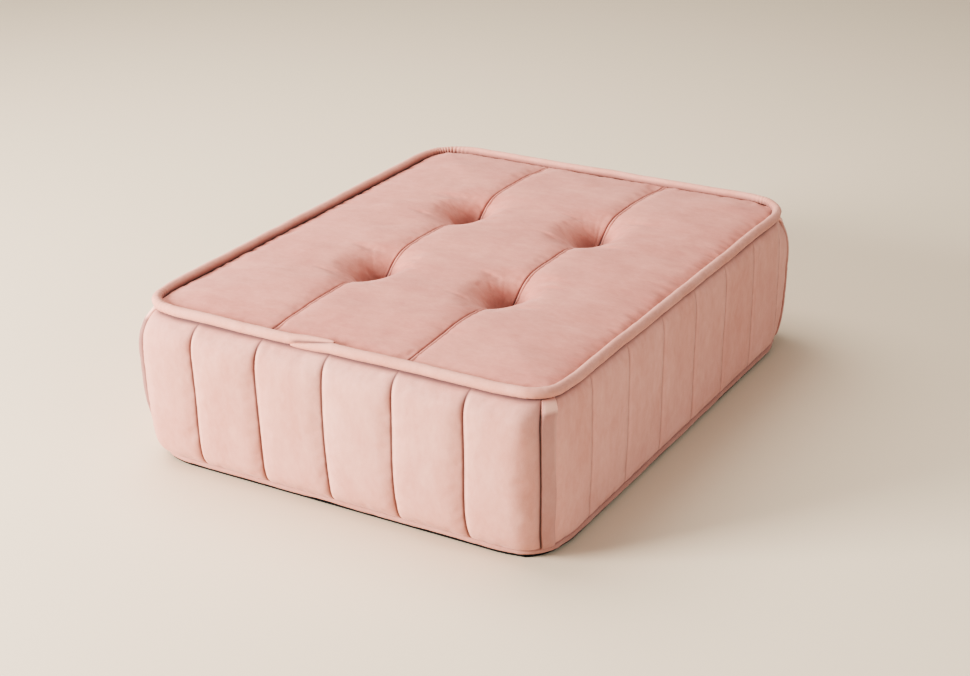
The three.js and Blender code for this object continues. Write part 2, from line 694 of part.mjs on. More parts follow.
// The bottom stop holds both rows together: two cheeks and a post between the rows.
const stopReach = COIL.half + 0.3;
const bottomStop = join(
  box([-1.5, stopReach, -COIL.outer], [1.5, stopReach + 0.6, COIL.outer]),
  box([-1.5, -stopReach - 0.6, -COIL.outer], [1.5, -stopReach, COIL.outer]),
  box([-1.5, -stopReach - 0.1, -0.5], [1.5, stopReach + 0.1, 0.5]),
);
place("zip_bottom_stop", bottomStop, "zipMetal", zip).position.x = -STOP_X;

// The slider: two plates with lips that hold the tapes, a post between the rows and a bail for the pull.
function sliderShape() {
  const { half, wide, plate: [inner, outer], slot, lip } = SLIDER;
  const parts = [];
  for (const face of [-1, 1]) {
    const span = (a, b) => (face > 0 ? [a, b] : [-b, -a]);
    const [plateLow, plateHigh] = span(inner, outer);
    const [lipLow, lipHigh] = span(slot, inner + 0.1);
    parts.push(box([-half, plateLow, -wide], [half, plateHigh, wide]));
    parts.push(box([-half, lipLow, lip], [half, lipHigh, wide]));
    parts.push(box([-half, lipLow, -wide], [half, lipHigh, -lip]));
  }
  parts.push(box([half - 2.5, -inner - 0.1, -0.5], [half - 0.8, inner + 0.1, 0.5]));
  const [barLow, barHigh] = BAIL.bar;
  parts.push(box([-BAIL.half, barLow, -BAIL.wide], [BAIL.half, barHigh, BAIL.wide]));
  for (const end of [-BAIL.half, BAIL.half - 1])
    parts.push(box([end, outer - 0.1, -BAIL.wide], [end + 1, barLow + 0.1, BAIL.wide]));
  return join(...parts);
}
place("zip_slider", sliderShape(), "zipMetal", zip).position.x = SLIDER_REST;

// The pull: a pin through the bail, two arms and a tab that lies back along the closed zip.
function pullShape() {
  const pin = new THREE.CylinderGeometry(PULL.pin, PULL.pin, 2 * PULL.hub[1], 8).rotateX(Math.PI / 2);
  const flat = PULL.thickness / 2;
  const arms = [-1, 1].map((side) => {
    const [low, high] = side > 0 ? PULL.hub : [-PULL.hub[1], -PULL.hub[0]];
    return box([-PULL.web - 0.5, -flat, low], [flat, flat, high]);
  });
  const tab = new THREE.Shape();
  const rounding = 2.5;
  tab.moveTo(-PULL.web, -PULL.hub[1]);
  tab.lineTo(-PULL.web, PULL.hub[1]);
  tab.lineTo(-PULL.web - 6, PULL.half);
  tab.lineTo(-PULL.end + rounding, PULL.half);
  tab.absarc(-PULL.end + rounding, PULL.half - rounding, rounding, Math.PI / 2, Math.PI, false);
  tab.absarc(-PULL.end + rounding, -PULL.half + rounding, rounding, Math.PI, 1.5 * Math.PI, false);
  tab.lineTo(-PULL.web - 6, -PULL.half);
  const plateShape = new THREE.ExtrudeGeometry(tab, {
    depth: PULL.thickness,
    bevelEnabled: false,
    curveSegments: 3,
  })
    .translate(0, 0, -flat)
    .rotateX(Math.PI / 2);
  return join(pin, ...arms, plateShape);
}
const PULL_AXIS_Y = (SLIDER.plate[1] + BAIL.bar[0]) / 2;
place("zip_pull", pullShape(), "zipMetal", zip).position.set(SLIDER_REST, PULL_AXIS_Y, 0);

export default cushion;
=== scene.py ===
"""Looks of a tufted velvet floor cushion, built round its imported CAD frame.

Lengths in this script are millimetres until mesh_object() turns them into metres. The frame is the CAD's:
origin on the floor under the middle, X across, Y towards the back, Z up.
"""
import math

import bpy
import numpy as np
from mathutils import Matrix, Vector


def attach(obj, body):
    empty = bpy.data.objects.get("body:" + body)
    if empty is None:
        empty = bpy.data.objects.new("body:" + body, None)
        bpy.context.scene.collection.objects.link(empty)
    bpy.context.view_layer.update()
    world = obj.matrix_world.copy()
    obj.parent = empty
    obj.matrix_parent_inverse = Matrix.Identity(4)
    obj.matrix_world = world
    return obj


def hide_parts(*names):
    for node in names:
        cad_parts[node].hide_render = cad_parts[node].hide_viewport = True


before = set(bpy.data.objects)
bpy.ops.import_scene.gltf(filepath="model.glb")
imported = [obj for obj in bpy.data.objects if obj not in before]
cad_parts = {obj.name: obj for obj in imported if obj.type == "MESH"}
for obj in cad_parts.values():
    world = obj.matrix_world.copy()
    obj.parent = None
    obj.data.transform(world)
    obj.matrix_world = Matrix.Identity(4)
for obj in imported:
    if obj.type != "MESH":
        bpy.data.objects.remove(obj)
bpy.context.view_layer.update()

# ------------------------------------------------------------------ sizes, as in the CAD

HALF_W, HALF_D = 300.0, 375.0  # top piping's centre lines
WALL_RADIUS = 35.0  # walls' corner in plan
SEAM_LOW, SEAM_HIGH = 11.5, 209.6  # lower and upper edge of the walls' velvet
FOOT_SEAM = 14.4  # lower seam of the walls in the CAD
SIDE_SWELL, FRONT_SWELL = 6.0, 24.5  # how far the walls swell out along X and Y
ZIP_LOW, ZIP_HIGH = 22.0, 34.0
PITCH = 100.0  # channels
SEAM_X = 100.0  # seams of the top
TUFT_Y = 125.0
VELVET = 1.5
ALL_TUFTS = [(sx * SEAM_X, sy * TUFT_Y) for sx in (-1, 1) for sy in (-1, 1)]

# ------------------------------------------------------------------ camera

CAMERA_PLACE = Vector((1.1765, -2.0055, 1.1077))
YAW, PITCH_DOWN, ROLL = math.radians(-30.46), math.radians(23.75), math.radians(-0.81)
LENS = 66.9


def add_camera():
    level = math.cos(PITCH_DOWN)
    forward = Vector((math.sin(YAW) * level, math.cos(YAW) * level, -math.sin(PITCH_DOWN)))
    right = Vector((math.cos(YAW), -math.sin(YAW), 0))
    up = right.cross(forward)
    rolled_right = right * math.cos(ROLL) + up * math.sin(ROLL)
    rolled_up = up * math.cos(ROLL) - right * math.sin(ROLL)
    data = bpy.data.cameras.new("camera")
    data.lens = LENS
    data.sensor_width = 36
    camera = bpy.data.objects.new("camera", data)
    turn = Matrix((rolled_right, rolled_up, -forward)).transposed().to_4x4()
    camera.matrix_world = Matrix.Translation(CAMERA_PLACE) @ turn
    bpy.context.scene.collection.objects.link(camera)
    bpy.context.scene.camera = camera


add_camera()

# ------------------------------------------------------------------ small tools


def ripple(a, b, wavelength, seed, waves=9):
    """A smooth random field of a and b, about -1 to 1, whose waves are roughly `wavelength` long."""
    rng = np.random.default_rng(seed)
    total = np.zeros(np.broadcast(a, b).shape)
    for _ in range(waves):
        angle = rng.uniform(0, 2 * math.pi)
        number = 2 * math.pi / wavelength * rng.uniform(0.6, 1.5)
        phase = rng.uniform(0, 2 * math.pi)
        total = total + np.sin(number * (a * math.cos(angle) + b * math.sin(angle)) + phase)
    return total / math.sqrt(2 * waves)


def smooth(t):
    t = np.clip(t, 0, 1)
    return t * t * (3 - 2 * t)


def graded(start, end, fine, coarse, both=True):
    """Grid lines from start to end, with steps that grow from fine at the start (and end) to coarse."""
    length = abs(end - start)
    reach = length / 2 if both else length
    steps, at, step = [0.0], 0.0, fine
    while at < reach:
        at += step
        steps.append(at)
        step = min(step * 1.35, coarse)
    steps = np.array(steps) * (reach / steps[-1])
    if both:
        steps = np.concatenate([steps, (length - steps[:-1])[::-1]])
    return start + math.copysign(1, end - start) * steps


def mesh_object(name, points, faces, material, attributes=None):
    """A smooth-shaded mesh piece of the cushion, from points in millimetres."""
    mesh = bpy.data.meshes.new(name)
    mesh.from_pydata([tuple(p) for p in np.asarray(points, float) * 0.001], [], [tuple(f) for f in faces])
    mesh.materials.append(material)
    mesh.shade_smooth()
    for key, values in (attributes or {}).items():
        layer = mesh.attributes.new(key, "FLOAT", "POINT")
        layer.data.foreach_set("value", np.asarray(values, np.float32))
    piece = bpy.data.objects.new(name, mesh)
    bpy.context.scene.collection.objects.link(piece)
    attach(piece, "cushion")
    return piece


def grid_quads(n, m, first=0, flip=False):
    i, j = np.meshgrid(np.arange(n - 1), np.arange(m - 1), indexing="ij")
    a = first + i * m + j
    quads = np.stack([a, a + m, a + m + 1, a + 1], -1).reshape(-1, 4)
    return quads[:, ::-1] if flip else quads


def rim_quads(n, m, second):
    """Quads that join the edges of a grid to those of its copy, whose points start at `second`."""
    bottom = np.arange(n) * m
    top = bottom + m - 1
    left = np.arange(m)
    right = (n - 1) * m + left
    loop = np.concatenate([bottom[:-1], right[:-1], top[::-1][:-1], left[::-1][:-1]])
    after = np.roll(loop, -1)
    return np.stack([loop, loop + second, after + second, after], -1)


def shell(name, outer, inner, material, attributes=None):
    """A closed sheet between two grids of points, with i and j counterclockwise seen from outside."""
    n, m = outer.shape[:2]
    points = np.concatenate([outer.reshape(-1, 3), inner.reshape(-1, 3)])
    faces = np.concatenate([grid_quads(n, m), grid_quads(n, m, n * m, flip=True), rim_quads(n, m, n * m)])
    doubled = {k: np.concatenate([v.ravel(), v.ravel()]) for k, v in (attributes or {}).items()}
    return mesh_object(name, points, faces, material, doubled)


def eroded(field, reach_i, reach_j):
    """Lowest value of a field within a window of so many grid steps each way."""
    for axis, reach in ((0, reach_i), (1, reach_j)):
        padded = np.pad(field, [(reach, reach) if k == axis else (0, 0) for k in (0, 1)], mode="edge")
        windows = np.lib.stride_tricks.sliding_window_view(padded, 2 * reach + 1, axis=axis)
        field = windows.min(-1)
    return field


# ------------------------------------------------------------------ materials


class Nodes:
    """A material's node tree, with a short way to add and join nodes."""

    def __init__(self, name):
        self.material = bpy.data.materials.new(name)
        self.material.use_nodes = True
        self.tree = self.material.node_tree
        self.shader = self.tree.nodes["Principled BSDF"]

    def add(self, kind, inputs=None, **settings):
        node = self.tree.nodes.new(kind)
        for key, value in settings.items():
            setattr(node, key, value)
        for key, value in (inputs or {}).items():
            self.put(node, key, value)
        return node

    def put(self, node, key, value):
        if isinstance(value, bpy.types.NodeSocket):
            self.tree.links.new(value, node.inputs[key])
        else:
            node.inputs[key].default_value = value

    def set(self, **inputs):
        for key, value in inputs.items():
            self.put(self.shader, key.replace("_", " "), value)

    def place(self):
        return self.add("ShaderNodeTexCoord").outputs["Object"]

    def scaled(self, scale, rotation=(0, 0, 0)):
        node = self.add("ShaderNodeMapping", {"Vector": self.place(), "Scale": scale, "Rotation": rotation})
        return node.outputs["Vector"]

    def noise(self, scale, detail=3, roughness=0.55, vector=None, distortion=0.0):
        node = self.add("ShaderNodeTexNoise", {
            "Vector": vector or self.place(), "Scale": scale, "Detail": detail,
            "Roughness": roughness, "Distortion": distortion,
        })
        return node.outputs["Fac"]

    def waves(self, scale, distortion, direction):
        node = self.add("ShaderNodeTexWave", {
            "Vector": self.scaled((scale, scale, scale)), "Scale": 0.3, "Distortion": distortion,
        }, bands_direction=direction)
        return node.outputs["Fac"]

    def between(self, factor, low, high, start=0.3, end=0.7):
        """A colour ramp from low to high."""
        node = self.add("ShaderNodeValToRGB", {"Fac": factor})
        ramp = node.color_ramp
        ramp.elements[0].position, ramp.elements[1].position = start, end
        ramp.elements[0].color, ramp.elements[1].color = (*low, 1), (*high, 1)
        return node.outputs["Color"]

    def mix(self, factor, a, b, blend="MIX"):
        node = self.add("ShaderNodeMix", data_type="RGBA", blend_type=blend)
        self.put(node, "Factor", factor)
        for index, value in ((6, a), (7, b)):
            if isinstance(value, bpy.types.NodeSocket):
                self.tree.links.new(value, node.inputs[index])
            else:
                node.inputs[index].default_value = (*value, 1)
        return node.outputs[2]

    def math(self, operation, a, b=0.5, clamp=False):
        node = self.add("ShaderNodeMath", operation=operation, use_clamp=clamp)
        self.put(node, 0, a)
        self.put(node, 1, b)
        return node.outputs["Value"]

    def ranged(self, value, low, high):
        node = self.add("ShaderNodeMapRange", {"Value": value, "To Min": low, "To Max": high})
        return node.outputs["Result"]

    def bump(self, height, distance, strength=1.0, normal=None):
        node = self.add("ShaderNodeBump", {"Height": height, "Distance": distance, "Strength": strength})
        if normal is not None:
            self.put(node, "Normal", normal)
        return node.outputs["Normal"]


def srgb(hexadecimal):
    """Linear colour from a six-digit hexadecimal sRGB one."""
    values = [int(hexadecimal[k:k + 2], 16) / 255 for k in (0, 2, 4)]
    return tuple(v / 12.92 if v <= 0.04045 else ((v + 0.055) / 1.055) ** 2.4 for v in values)


def velvet_material(name, brushed, dark, light):
    """Short-pile velvet. `brushed` stretches the nap's marks along X, Y and Z.

    A piece darkens with painted shade in its seams, pits and corners and under its piping, and lightens with
    painted highlight on shoulders and edges that face the lamps, as its two attributes say.
    """
    n = Nodes(name)
    broad = n.noise(1.0, 4, 0.6, n.scaled(brushed), 0.6)
    streaks = n.noise(1.0, 5, 0.7, n.scaled(tuple(4.5 * s for s in brushed)), 0.3)
    flecks = n.noise(1.0, 3, 0.6, n.scaled(tuple(16 * s for s in brushed)))
    nap = n.math("ADD", n.math("MULTIPLY", broad, 0.45), n.math("MULTIPLY", streaks, 0.35))
    nap = n.math("ADD", nap, n.math("MULTIPLY", flecks, 0.2))
    colour = n.between(nap, dark, light, 0.35, 0.67)
    pile = n.noise(900, 2, 0.6)
    colour = n.mix(n.ranged(pile, 0.0, 0.12), colour, srgb("b08078"), "MULTIPLY")
    wear_and_painted_shade = n.add("ShaderNodeAttribute", attribute_name="painted_shade").outputs["Fac"]
    raised_dots_and_painted_highlight = n.add("ShaderNodeAttribute", attribute_name="raised_dots_and_painted_highlight").outputs["Fac"]
    # Painted highlight: a light pink laid over the pile where the highlight attribute is high.
    colour = n.mix(n.math("MULTIPLY", raised_dots_and_painted_highlight, 1.0, True), colour, srgb("ffcab5"))
    # Painted shade: a grey-brown laid over the pile where the shade attribute is high.
    colour = n.mix(n.math("MULTIPLY", wear_and_painted_shade, 0.9, True), colour, srgb("6e5759"))
    normal = n.bump(streaks, 0.0008, 0.25)
    normal = n.bump(pile, 0.0004, 0.35, normal)
    n.set(Base_Color=colour, Roughness=n.ranged(nap, 0.95, 0.8), Normal=normal)
    n.set(Sheen_Weight=0.22, Sheen_Roughness=0.5, Sheen_Tint=(1.0, 0.8, 0.74, 1), Specular_IOR_Level=0.12)
    return n.material


def plain_fabric(name, low, high, weave=1400.0, depth=0.0003):
    """A woven fabric with crossed threads."""
    n = Nodes(name)
    threads = n.math("MULTIPLY", n.waves(weave, 0.6, "X"), n.waves(weave, 0.6, "DIAGONAL"))
    uneven = n.noise(35, 4)
    shade = n.math("ADD", n.math("MULTIPLY", threads, 0.5), n.math("MULTIPLY", uneven, 0.5))
    colour = n.between(shade, low, high, 0.2, 0.8)
    n.set(Base_Color=colour, Roughness=0.9, Normal=n.bump(threads, depth, 0.6))
    n.set(Sheen_Weight=0.2, Specular_IOR_Level=0.2)
    return n.material


def foam_material(name, low, high, cells=420.0):
    """Open-cell foam, or fluffy wadding with larger cells."""
    n = Nodes(name)
    pores = n.add("ShaderNodeTexVoronoi", {"Vector": n.place(), "Scale": cells}).outputs["Distance"]
    uneven = n.noise(14, 5, 0.6)
    shade = n.math("ADD", n.math("MULTIPLY", pores, 0.6), n.math("MULTIPLY", uneven, 0.5))
    colour = n.between(shade, low, high, 0.2, 0.8)
    n.set(Base_Color=colour, Roughness=0.95, Normal=n.bump(pores, 0.0006, 0.7))
    n.set(Subsurface_Weight=0.05, Specular_IOR_Level=0.15)
    return n.material


def twisted_material(name, low, high, pitch=900.0):
    """Twisted cord or twine."""
    n = Nodes(name)
    strands = n.waves(pitch, 1.5, "DIAGONAL")
    colour = n.between(strands, low, high, 0.1, 0.8)
    n.set(Base_Color=colour, Roughness=0.85, Normal=n.bump(strands, 0.0005, 0.8), Specular_IOR_Level=0.2)
    return n.material


def metal_material(name, low, high):
    n = Nodes(name)
    wear_and_painted_shade = n.noise(160, 5, 0.65)
    scratch = n.noise(1.0, 4, 0.7, n.scaled((500, 3500, 3500)))
    colour = n.between(wear_and_painted_shade, low, high, 0.35, 0.65)
    n.set(Base_Color=colour, Metallic=1.0)
    n.set(Roughness=n.ranged(scratch, 0.22, 0.42), Normal=n.bump(scratch, 0.00005, 0.3))
    return n.material


def nylon_material(name, low, high):
    n = Nodes(name)
    cloudy = n.noise(60, 4)
    n.set(Base_Color=n.between(cloudy, low, high), Roughness=n.ranged(n.noise(300, 3), 0.35, 0.5))
    n.set(Normal=n.bump(n.noise(700, 2), 0.0001, 0.4), Specular_IOR_Level=0.45)
    return n.material


def grip_material(name):
    """Black non-slip base fabric with rows of small rubber dots."""
    n = Nodes(name)
    rows = n.add("ShaderNodeTexVoronoi", {"Vector": n.scaled((1, 1, 0)), "Scale": 140.0, "Randomness": 0.0})
    raised_dots_and_painted_highlight = n.math("LESS_THAN", rows.outputs["Distance"], 0.28)
    weave = n.noise(900, 3)
    colour = n.mix(raised_dots_and_painted_highlight, n.between(weave, srgb("0e0d0d"), srgb("262323")), srgb("171616"))
    n.set(Base_Color=colour, Roughness=n.ranged(raised_dots_and_painted_highlight, 0.95, 0.5))
    n.set(Normal=n.bump(raised_dots_and_painted_highlight, 0.0006, 0.8), Specular_IOR_Level=0.3)
    return n.material


# The top, walls and piping are one velvet in three copies: the top's darker colours are painted shade, and
# the walls' and piping's lighter ones are painted light, for how each part faces the lamps.
TOP_VELVET = velvet_material("velvet_top", (9.0, 16.0, 10.0), srgb("c48173"), srgb("d99a8a"))
WALL_VELVET = velvet_material("velvet_walls", (9.0, 9.0, 5.0), srgb("cd9485"), srgb("dfac9e"))
TRIM_VELVET = velvet_material("velvet_trim", (14.0, 14.0, 14.0), srgb("d49784"), srgb("e2ab9a"))
WADDING = foam_material("wadding", srgb("dedbd2"), srgb("faf8f3"), 160.0)
COMFORT_FOAM = foam_material("comfort_foam", srgb("e2d4ac"), srgb("f8efd6"))
CORE_FOAM = foam_material("core_foam", srgb("d2c288"), srgb("efe4b8"))
BASE_FOAM = foam_material("base_foam", srgb("7f8f9e"), srgb("c3ccd4"), 220.0)
CORD = twisted_material("piping_cord", srgb("cfc7b6"), srgb("faf7ee"))
TWINE = twisted_material("twine", srgb("c3b896"), srgb("f4efdd"), 2600.0)
WEBBING = plain_fabric("webbing", srgb("cdc3b0"), srgb("f4eee2"))
ZIP_TAPE = plain_fabric("zip_tape", srgb("b07e73"), srgb("d3a396"), 2600.0, 0.0001)
ZIP_METAL = metal_material("zip_metal", srgb("8f847d"), srgb("c9bfb8"))
NYLON = nylon_material("nylon", srgb("dcdcd6"), srgb("f4f4f0"))
GRIP = grip_material("grip_fabric")

# ------------------------------------------------------------------ cloth simulation

PRESSURE = 4.0
STEPS = 20
COARSE = 5.5  # grid of a simulated sheet
JITTER = 0.4  # of a sheet's points before it is simulated


def settled(points, pinned, slack, cap):
    """How far each point of a sheet moves once it is simulated as cloth over its stuffing.

    points is a grid in millimetres with outward normals, and pinned marks what is sewn down. slack is how
    much larger the cloth is than the sheet, and cap is the furthest that a point may move.
    """
    n, m = points.shape[:2]
    mesh = bpy.data.meshes.new("simulated")
    faces = [tuple(f) for f in grid_quads(n, m)]
    mesh.from_pydata([tuple(p) for p in points.reshape(-1, 3) * 0.001], [], faces)
    sheet = bpy.data.objects.new("simulated", mesh)
    scene = bpy.context.scene
    scene.collection.objects.link(sheet)
    sewn = sheet.vertex_groups.new(name="sewn")
    sewn.add([int(k) for k in np.flatnonzero(pinned)], 1.0, "REPLACE")
    cloth = sheet.modifiers.new("cloth", "CLOTH")
    settings = cloth.settings
    settings.quality = 6
    settings.mass = 0.3
    settings.tension_stiffness = settings.compression_stiffness = 15
    settings.bending_stiffness = 0.6
    settings.vertex_group_mass = "sewn"
    settings.pin_stiffness = 1
    settings.use_pressure = True
    settings.uniform_pressure_force = PRESSURE
    settings.shrink_min = -slack
    settings.effector_weights.gravity = 0
    cloth.collision_settings.use_collision = False
    cloth.point_cache.frame_start, cloth.point_cache.frame_end = 1, STEPS
    for step in range(1, STEPS + 1):
        scene.frame_set(step)
    result = sheet.evaluated_get(bpy.context.evaluated_depsgraph_get()).to_mesh()
    moved = np.empty(3 * n * m, np.float32)
    result.vertices.foreach_get("co", moved)
    move = moved.reshape(n, m, 3).astype(float) * 1000 - points
    bpy.data.objects.remove(sheet)
    bpy.data.meshes.remove(mesh)
    scene.frame_set(1)
    length = np.linalg.norm(move, axis=-1, keepdims=True)
    move = move * (cap * np.tanh(length / cap) / np.maximum(length, 1e-9))
    move[pinned.reshape(n, m)] = 0
    return move


def resampled(field, old, new, axis):
    """A field on grid lines `old`, read at the lines `new` with smooth slopes between them."""
    field = np.moveaxis(field, axis, 0)
    slope = np.gradient(field, old, axis=0)
    index = np.clip(np.searchsorted(old, new, side="right") - 1, 0, len(old) - 2)
    step = (old[index + 1] - old[index]).reshape(-1, *[1] * (field.ndim - 1))
    t = np.clip((new - old[index]).reshape(step.shape) / step, 0, 1)
    value = (
        (1 + 2 * t) * (1 - t) ** 2 * field[index] + t * (1 - t) ** 2 * step * slope[index]
        + t ** 2 * (3 - 2 * t) * field[index + 1] - t ** 2 * (1 - t) * step * slope[index + 1]
    )
    return np.moveaxis(value, 0, axis)


# ------------------------------------------------------------------ walls

WALL_FACES = {"front": (0, -1), "right": (1, 0), "back": (0, 1), "left": (-1, 0)}
ARC = WALL_RADIUS * math.pi / 4  # from a wall's straight part to the corner seam
CORNER_GROWTH = 17.0  # how much longer that arc is where the walls swell most
PUFF = {"front": 6.0, "back": 6.0, "right": 1.2, "left": 1.2}  # of the channels
SEEDS = {"front": 11, "right": 23, "back": 37, "left": 51}
# How far each corner is gathered in under the top piping, and how far its foot is tucked in.
GATHER = {(-1, -1): (12, 14), (1, -1): (5, 9), (1, 1): (18, 12), (-1, 1): (15, 12)}


def fullness(z):
    """Share of their swell that the walls have at a height.

    They come out sharply under the top piping, lean in a little lower down, and turn in at the foot.
    """
    z = np.clip(z, FOOT_SEAM, SEAM_HIGH)
    over, under = z - FOOT_SEAM, SEAM_HIGH - z
    lean = 1 - 0.1 * under / (SEAM_HIGH - FOOT_SEAM)
    return (1 - np.exp(-(under + 2.5) / 10)) * (1 - 0.45 * np.exp(-over / 20)) * lean


def wall_sizes(wall):
    """Half the straight length of a wall, and its distance from the middle."""
    along, out = (HALF_W, HALF_D) if wall in ("front", "back") else (HALF_D, HALF_W)
    return along - WALL_RADIUS, out


def wall_lines(wall):
    """Places along a wall of its corner seams and stitch lines, counterclockwise seen from above."""
    end = wall_sizes(wall)[0] + ARC
    if wall in ("front", "back"):
        inner = [k * PITCH for k in (-2, -1, 0, 1, 2)]
    else:
        inner = [k * PITCH - HALF_D for k in range(1, 8)]
        if wall == "left":
            inner = [-v for v in reversed(inner)]
    return np.array([-end, *inner, end])


def wall_base(wall, u):
    """Points in plan and outward normals along a wall's seams."""
    nx, ny = WALL_FACES[wall]
    tx, ty = -ny, nx
    reach, half = wall_sizes(wall)
    turn = np.clip((np.abs(u) - reach) / WALL_RADIUS, 0, None)
    side = np.sign(u)
    along = np.where(turn > 0, side * (reach + WALL_RADIUS * np.sin(turn)), u)
    out = half - WALL_RADIUS * (1 - np.cos(turn))
    points = np.stack([tx * along + nx * out, ty * along + ny * out], -1)
    along_n, out_n = side * np.sin(turn), np.cos(turn)
    normals = np.stack([tx * along_n + nx * out_n, ty * along_n + ny * out_n], -1)
    return points, normals


def tucked(points, share=1.0):
    """Gathers the cushion's corners in, at the top and at the foot."""
    x, y, z = points[..., 0], points[..., 1], points[..., 2]
    px, py = np.clip(np.abs(x) - 225, 0, None), np.clip(np.abs(y) - 300, 0, None)
    angle = np.arctan2(py, px + 1e-9)
    top, foot = np.zeros_like(x), np.zeros_like(x)
    for (sx, sy), (high, low) in GATHER.items():
        here = (np.sign(x) == sx) & (np.sign(y) == sy)
        top, foot = np.where(here, high, top), np.where(here, low, foot)
    amount = share * top * np.exp(-(((SEAM_HIGH - z) / 30) ** 2))
    amount = amount + foot * np.exp(-np.clip(z - 2, 0, None) / 50)
    pull = amount * np.sin(2 * angle) ** 3 * smooth(np.hypot(px, py) / 50)
    moved = points.copy()
    moved[..., 0] -= np.sign(x) * pull * np.cos(angle)
    moved[..., 1] -= np.sign(y) * pull * np.sin(angle)
    return moved


def nearest_line(u, lines):
    """Distance to the nearest of some lines, share of the way across the channel, its width and number."""
    index = np.clip(np.searchsorted(lines, u, side="right") - 1, 0, len(lines) - 2)
    low, high = lines[index], lines[index + 1]
    return np.minimum(u - low, high - u), (u - low) / (high - low), high - low, index


def wall_rise(wall, u, z, fine=True):
    """How far the velvet stands out from the wall's swollen face: channels and, if fine, small creases."""
    seed = SEEDS[wall]
    gap, share, width, index = nearest_line(u, wall_lines(wall))
    edge = np.minimum(z - SEAM_LOW, SEAM_HIGH - z)
    closed = np.clip(edge / 16, 0, 1) ** 0.5
    shoulder = np.clip(gap / np.minimum(17, 0.4 * width), 0, 1)
    pillow = 0.72 * (1 - (1 - shoulder) ** 2) ** 0.62 + 0.28 * (1 - (2 * share - 1) ** 2)
    uneven = 1 + 0.14 * np.sin(index * 2.4 + seed)
    rise = PUFF[wall] * np.minimum(1, width / 90) * closed * pillow * uneven
    rise = rise - 4.2 * np.exp(-edge / 2.2)
    if not fine:
        return rise
    inside = np.clip(gap / 5, 0, 1) * np.clip(edge / 8, 0, 1)
    pucker = 0.3 * np.exp(-gap / 11) * ripple(z * 2.2, gap + 60 * index, 40, seed + 1)
    soft = 0.6 * ripple(u, z * 0.7, 95, seed + 2)
    pleats = 0.7 * np.exp(-(SEAM_HIGH - z) / 18) * ripple(u, z * 0.2, 21, seed + 3)
    groove = (0.5 + 0.03 * PUFF[wall]) * np.exp(-(gap / 1.1) ** 2)
    return rise + (pucker + soft + pleats) * inside - groove


def wall_points(wall, u, z, rise, height=None):
    base, normals = wall_base(wall, u)
    height = z if height is None else height
    swollen = base + normals * fullness(z)[..., None] * np.array([SIDE_SWELL, FRONT_SWELL])
    free = smooth((z - SEAM_LOW) / 35) * smooth((SEAM_HIGH - z) / 35)
    x, y = base[..., 0] * 0.4, base[..., 1] * 0.4
    sway = np.stack([ripple(x + z, y, 230, 15), ripple(x, y + z, 230, 16)], -1)
    swollen = swollen + 1.1 * free[..., None] * sway
    plan = swollen + normals * rise[..., None]
    return tucked(np.concatenate([plan, np.broadcast_to(height, u.shape)[..., None]], -1))


def simulated_wall(wall, low, high):
    """A wall's coarse grid lines and the moves of its points on them."""
    lines = wall_lines(wall)
    spans = [
        np.linspace(a, b, max(3, round((b - a) / COARSE)), endpoint=False)
        for a, b in zip(lines[:-1], lines[1:])
    ]
    u = np.concatenate([*spans, lines[-1:]])
    z = np.linspace(low, high, round((high - low) / COARSE))
    uu, zz = np.meshgrid(u, z, indexing="ij")
    rise = wall_rise(wall, uu, zz, fine=False)
    rise = rise - 0.2 * np.clip(rise, 0, None)
    pinned = np.isin(uu, lines) | (zz <= low) | (zz >= high)
    rng = np.random.default_rng(SEEDS[wall])
    rise = rise + np.where(pinned, 0, rng.uniform(-JITTER, JITTER, rise.shape))
    cap = 0.25 * PUFF[wall] + 0.4
    return u, z, settled(wall_points(wall, uu, zz, rise), pinned, 0.012, cap)


WALL_FEET = {wall: ZIP_HIGH if wall == "back" else SEAM_LOW for wall in WALL_FACES}
WALL_MOVES = {wall: simulated_wall(wall, foot, SEAM_HIGH) for wall, foot in WALL_FEET.items()}


def wall_move(wall, u, z):
    """The simulated move of a wall's points on grid lines u and z."""
    old_u, old_z, moves = WALL_MOVES[wall]
    return resampled(resampled(moves, old_u, u, 0), old_z, z, 1)


def wall_move_at(wall, u, z):
    """The simulated move of a wall at any places u and z."""
    old_u, old_z, moves = WALL_MOVES[wall]
    i = np.clip(np.searchsorted(old_u, u, side="right") - 1, 0, len(old_u) - 2)
    j = np.clip(np.searchsorted(old_z, z, side="right") - 1, 0, len(old_z) - 2)
    a = np.clip((u - old_u[i]) / (old_u[i + 1] - old_u[i]), 0, 1)[..., None]
    b = np.clip((z - old_z[j]) / (old_z[j + 1] - old_z[j]), 0, 1)[..., None]
    low = moves[i, j] * (1 - a) + moves[i + 1, j] * a
    high = moves[i, j + 1] * (1 - a) + moves[i + 1, j + 1] * a
    return low * (1 - b) + high * b


def wall_grid(wall):
    lines = wall_lines(wall)
    parts = [graded(a, b, 0.6, 4.0)[:-1] for a, b in zip(lines[:-1], lines[1:])]
    return np.concatenate([*parts, lines[-1:]])


STRIP_WIDTH = 21.0  # of the strips that are folded over the corner seams


def corner_stretch(z):
    """Length along a wall's seams for each millimetre of velvet on its rounded ends."""
    return ARC / (ARC + CORNER_GROWTH * fullness(z))


# Rows past a sewn edge, where the velvet turns in under the piping: height past the edge, and depth.
TUCK = [(1.2, 1.4), (2.2, 4.0)]


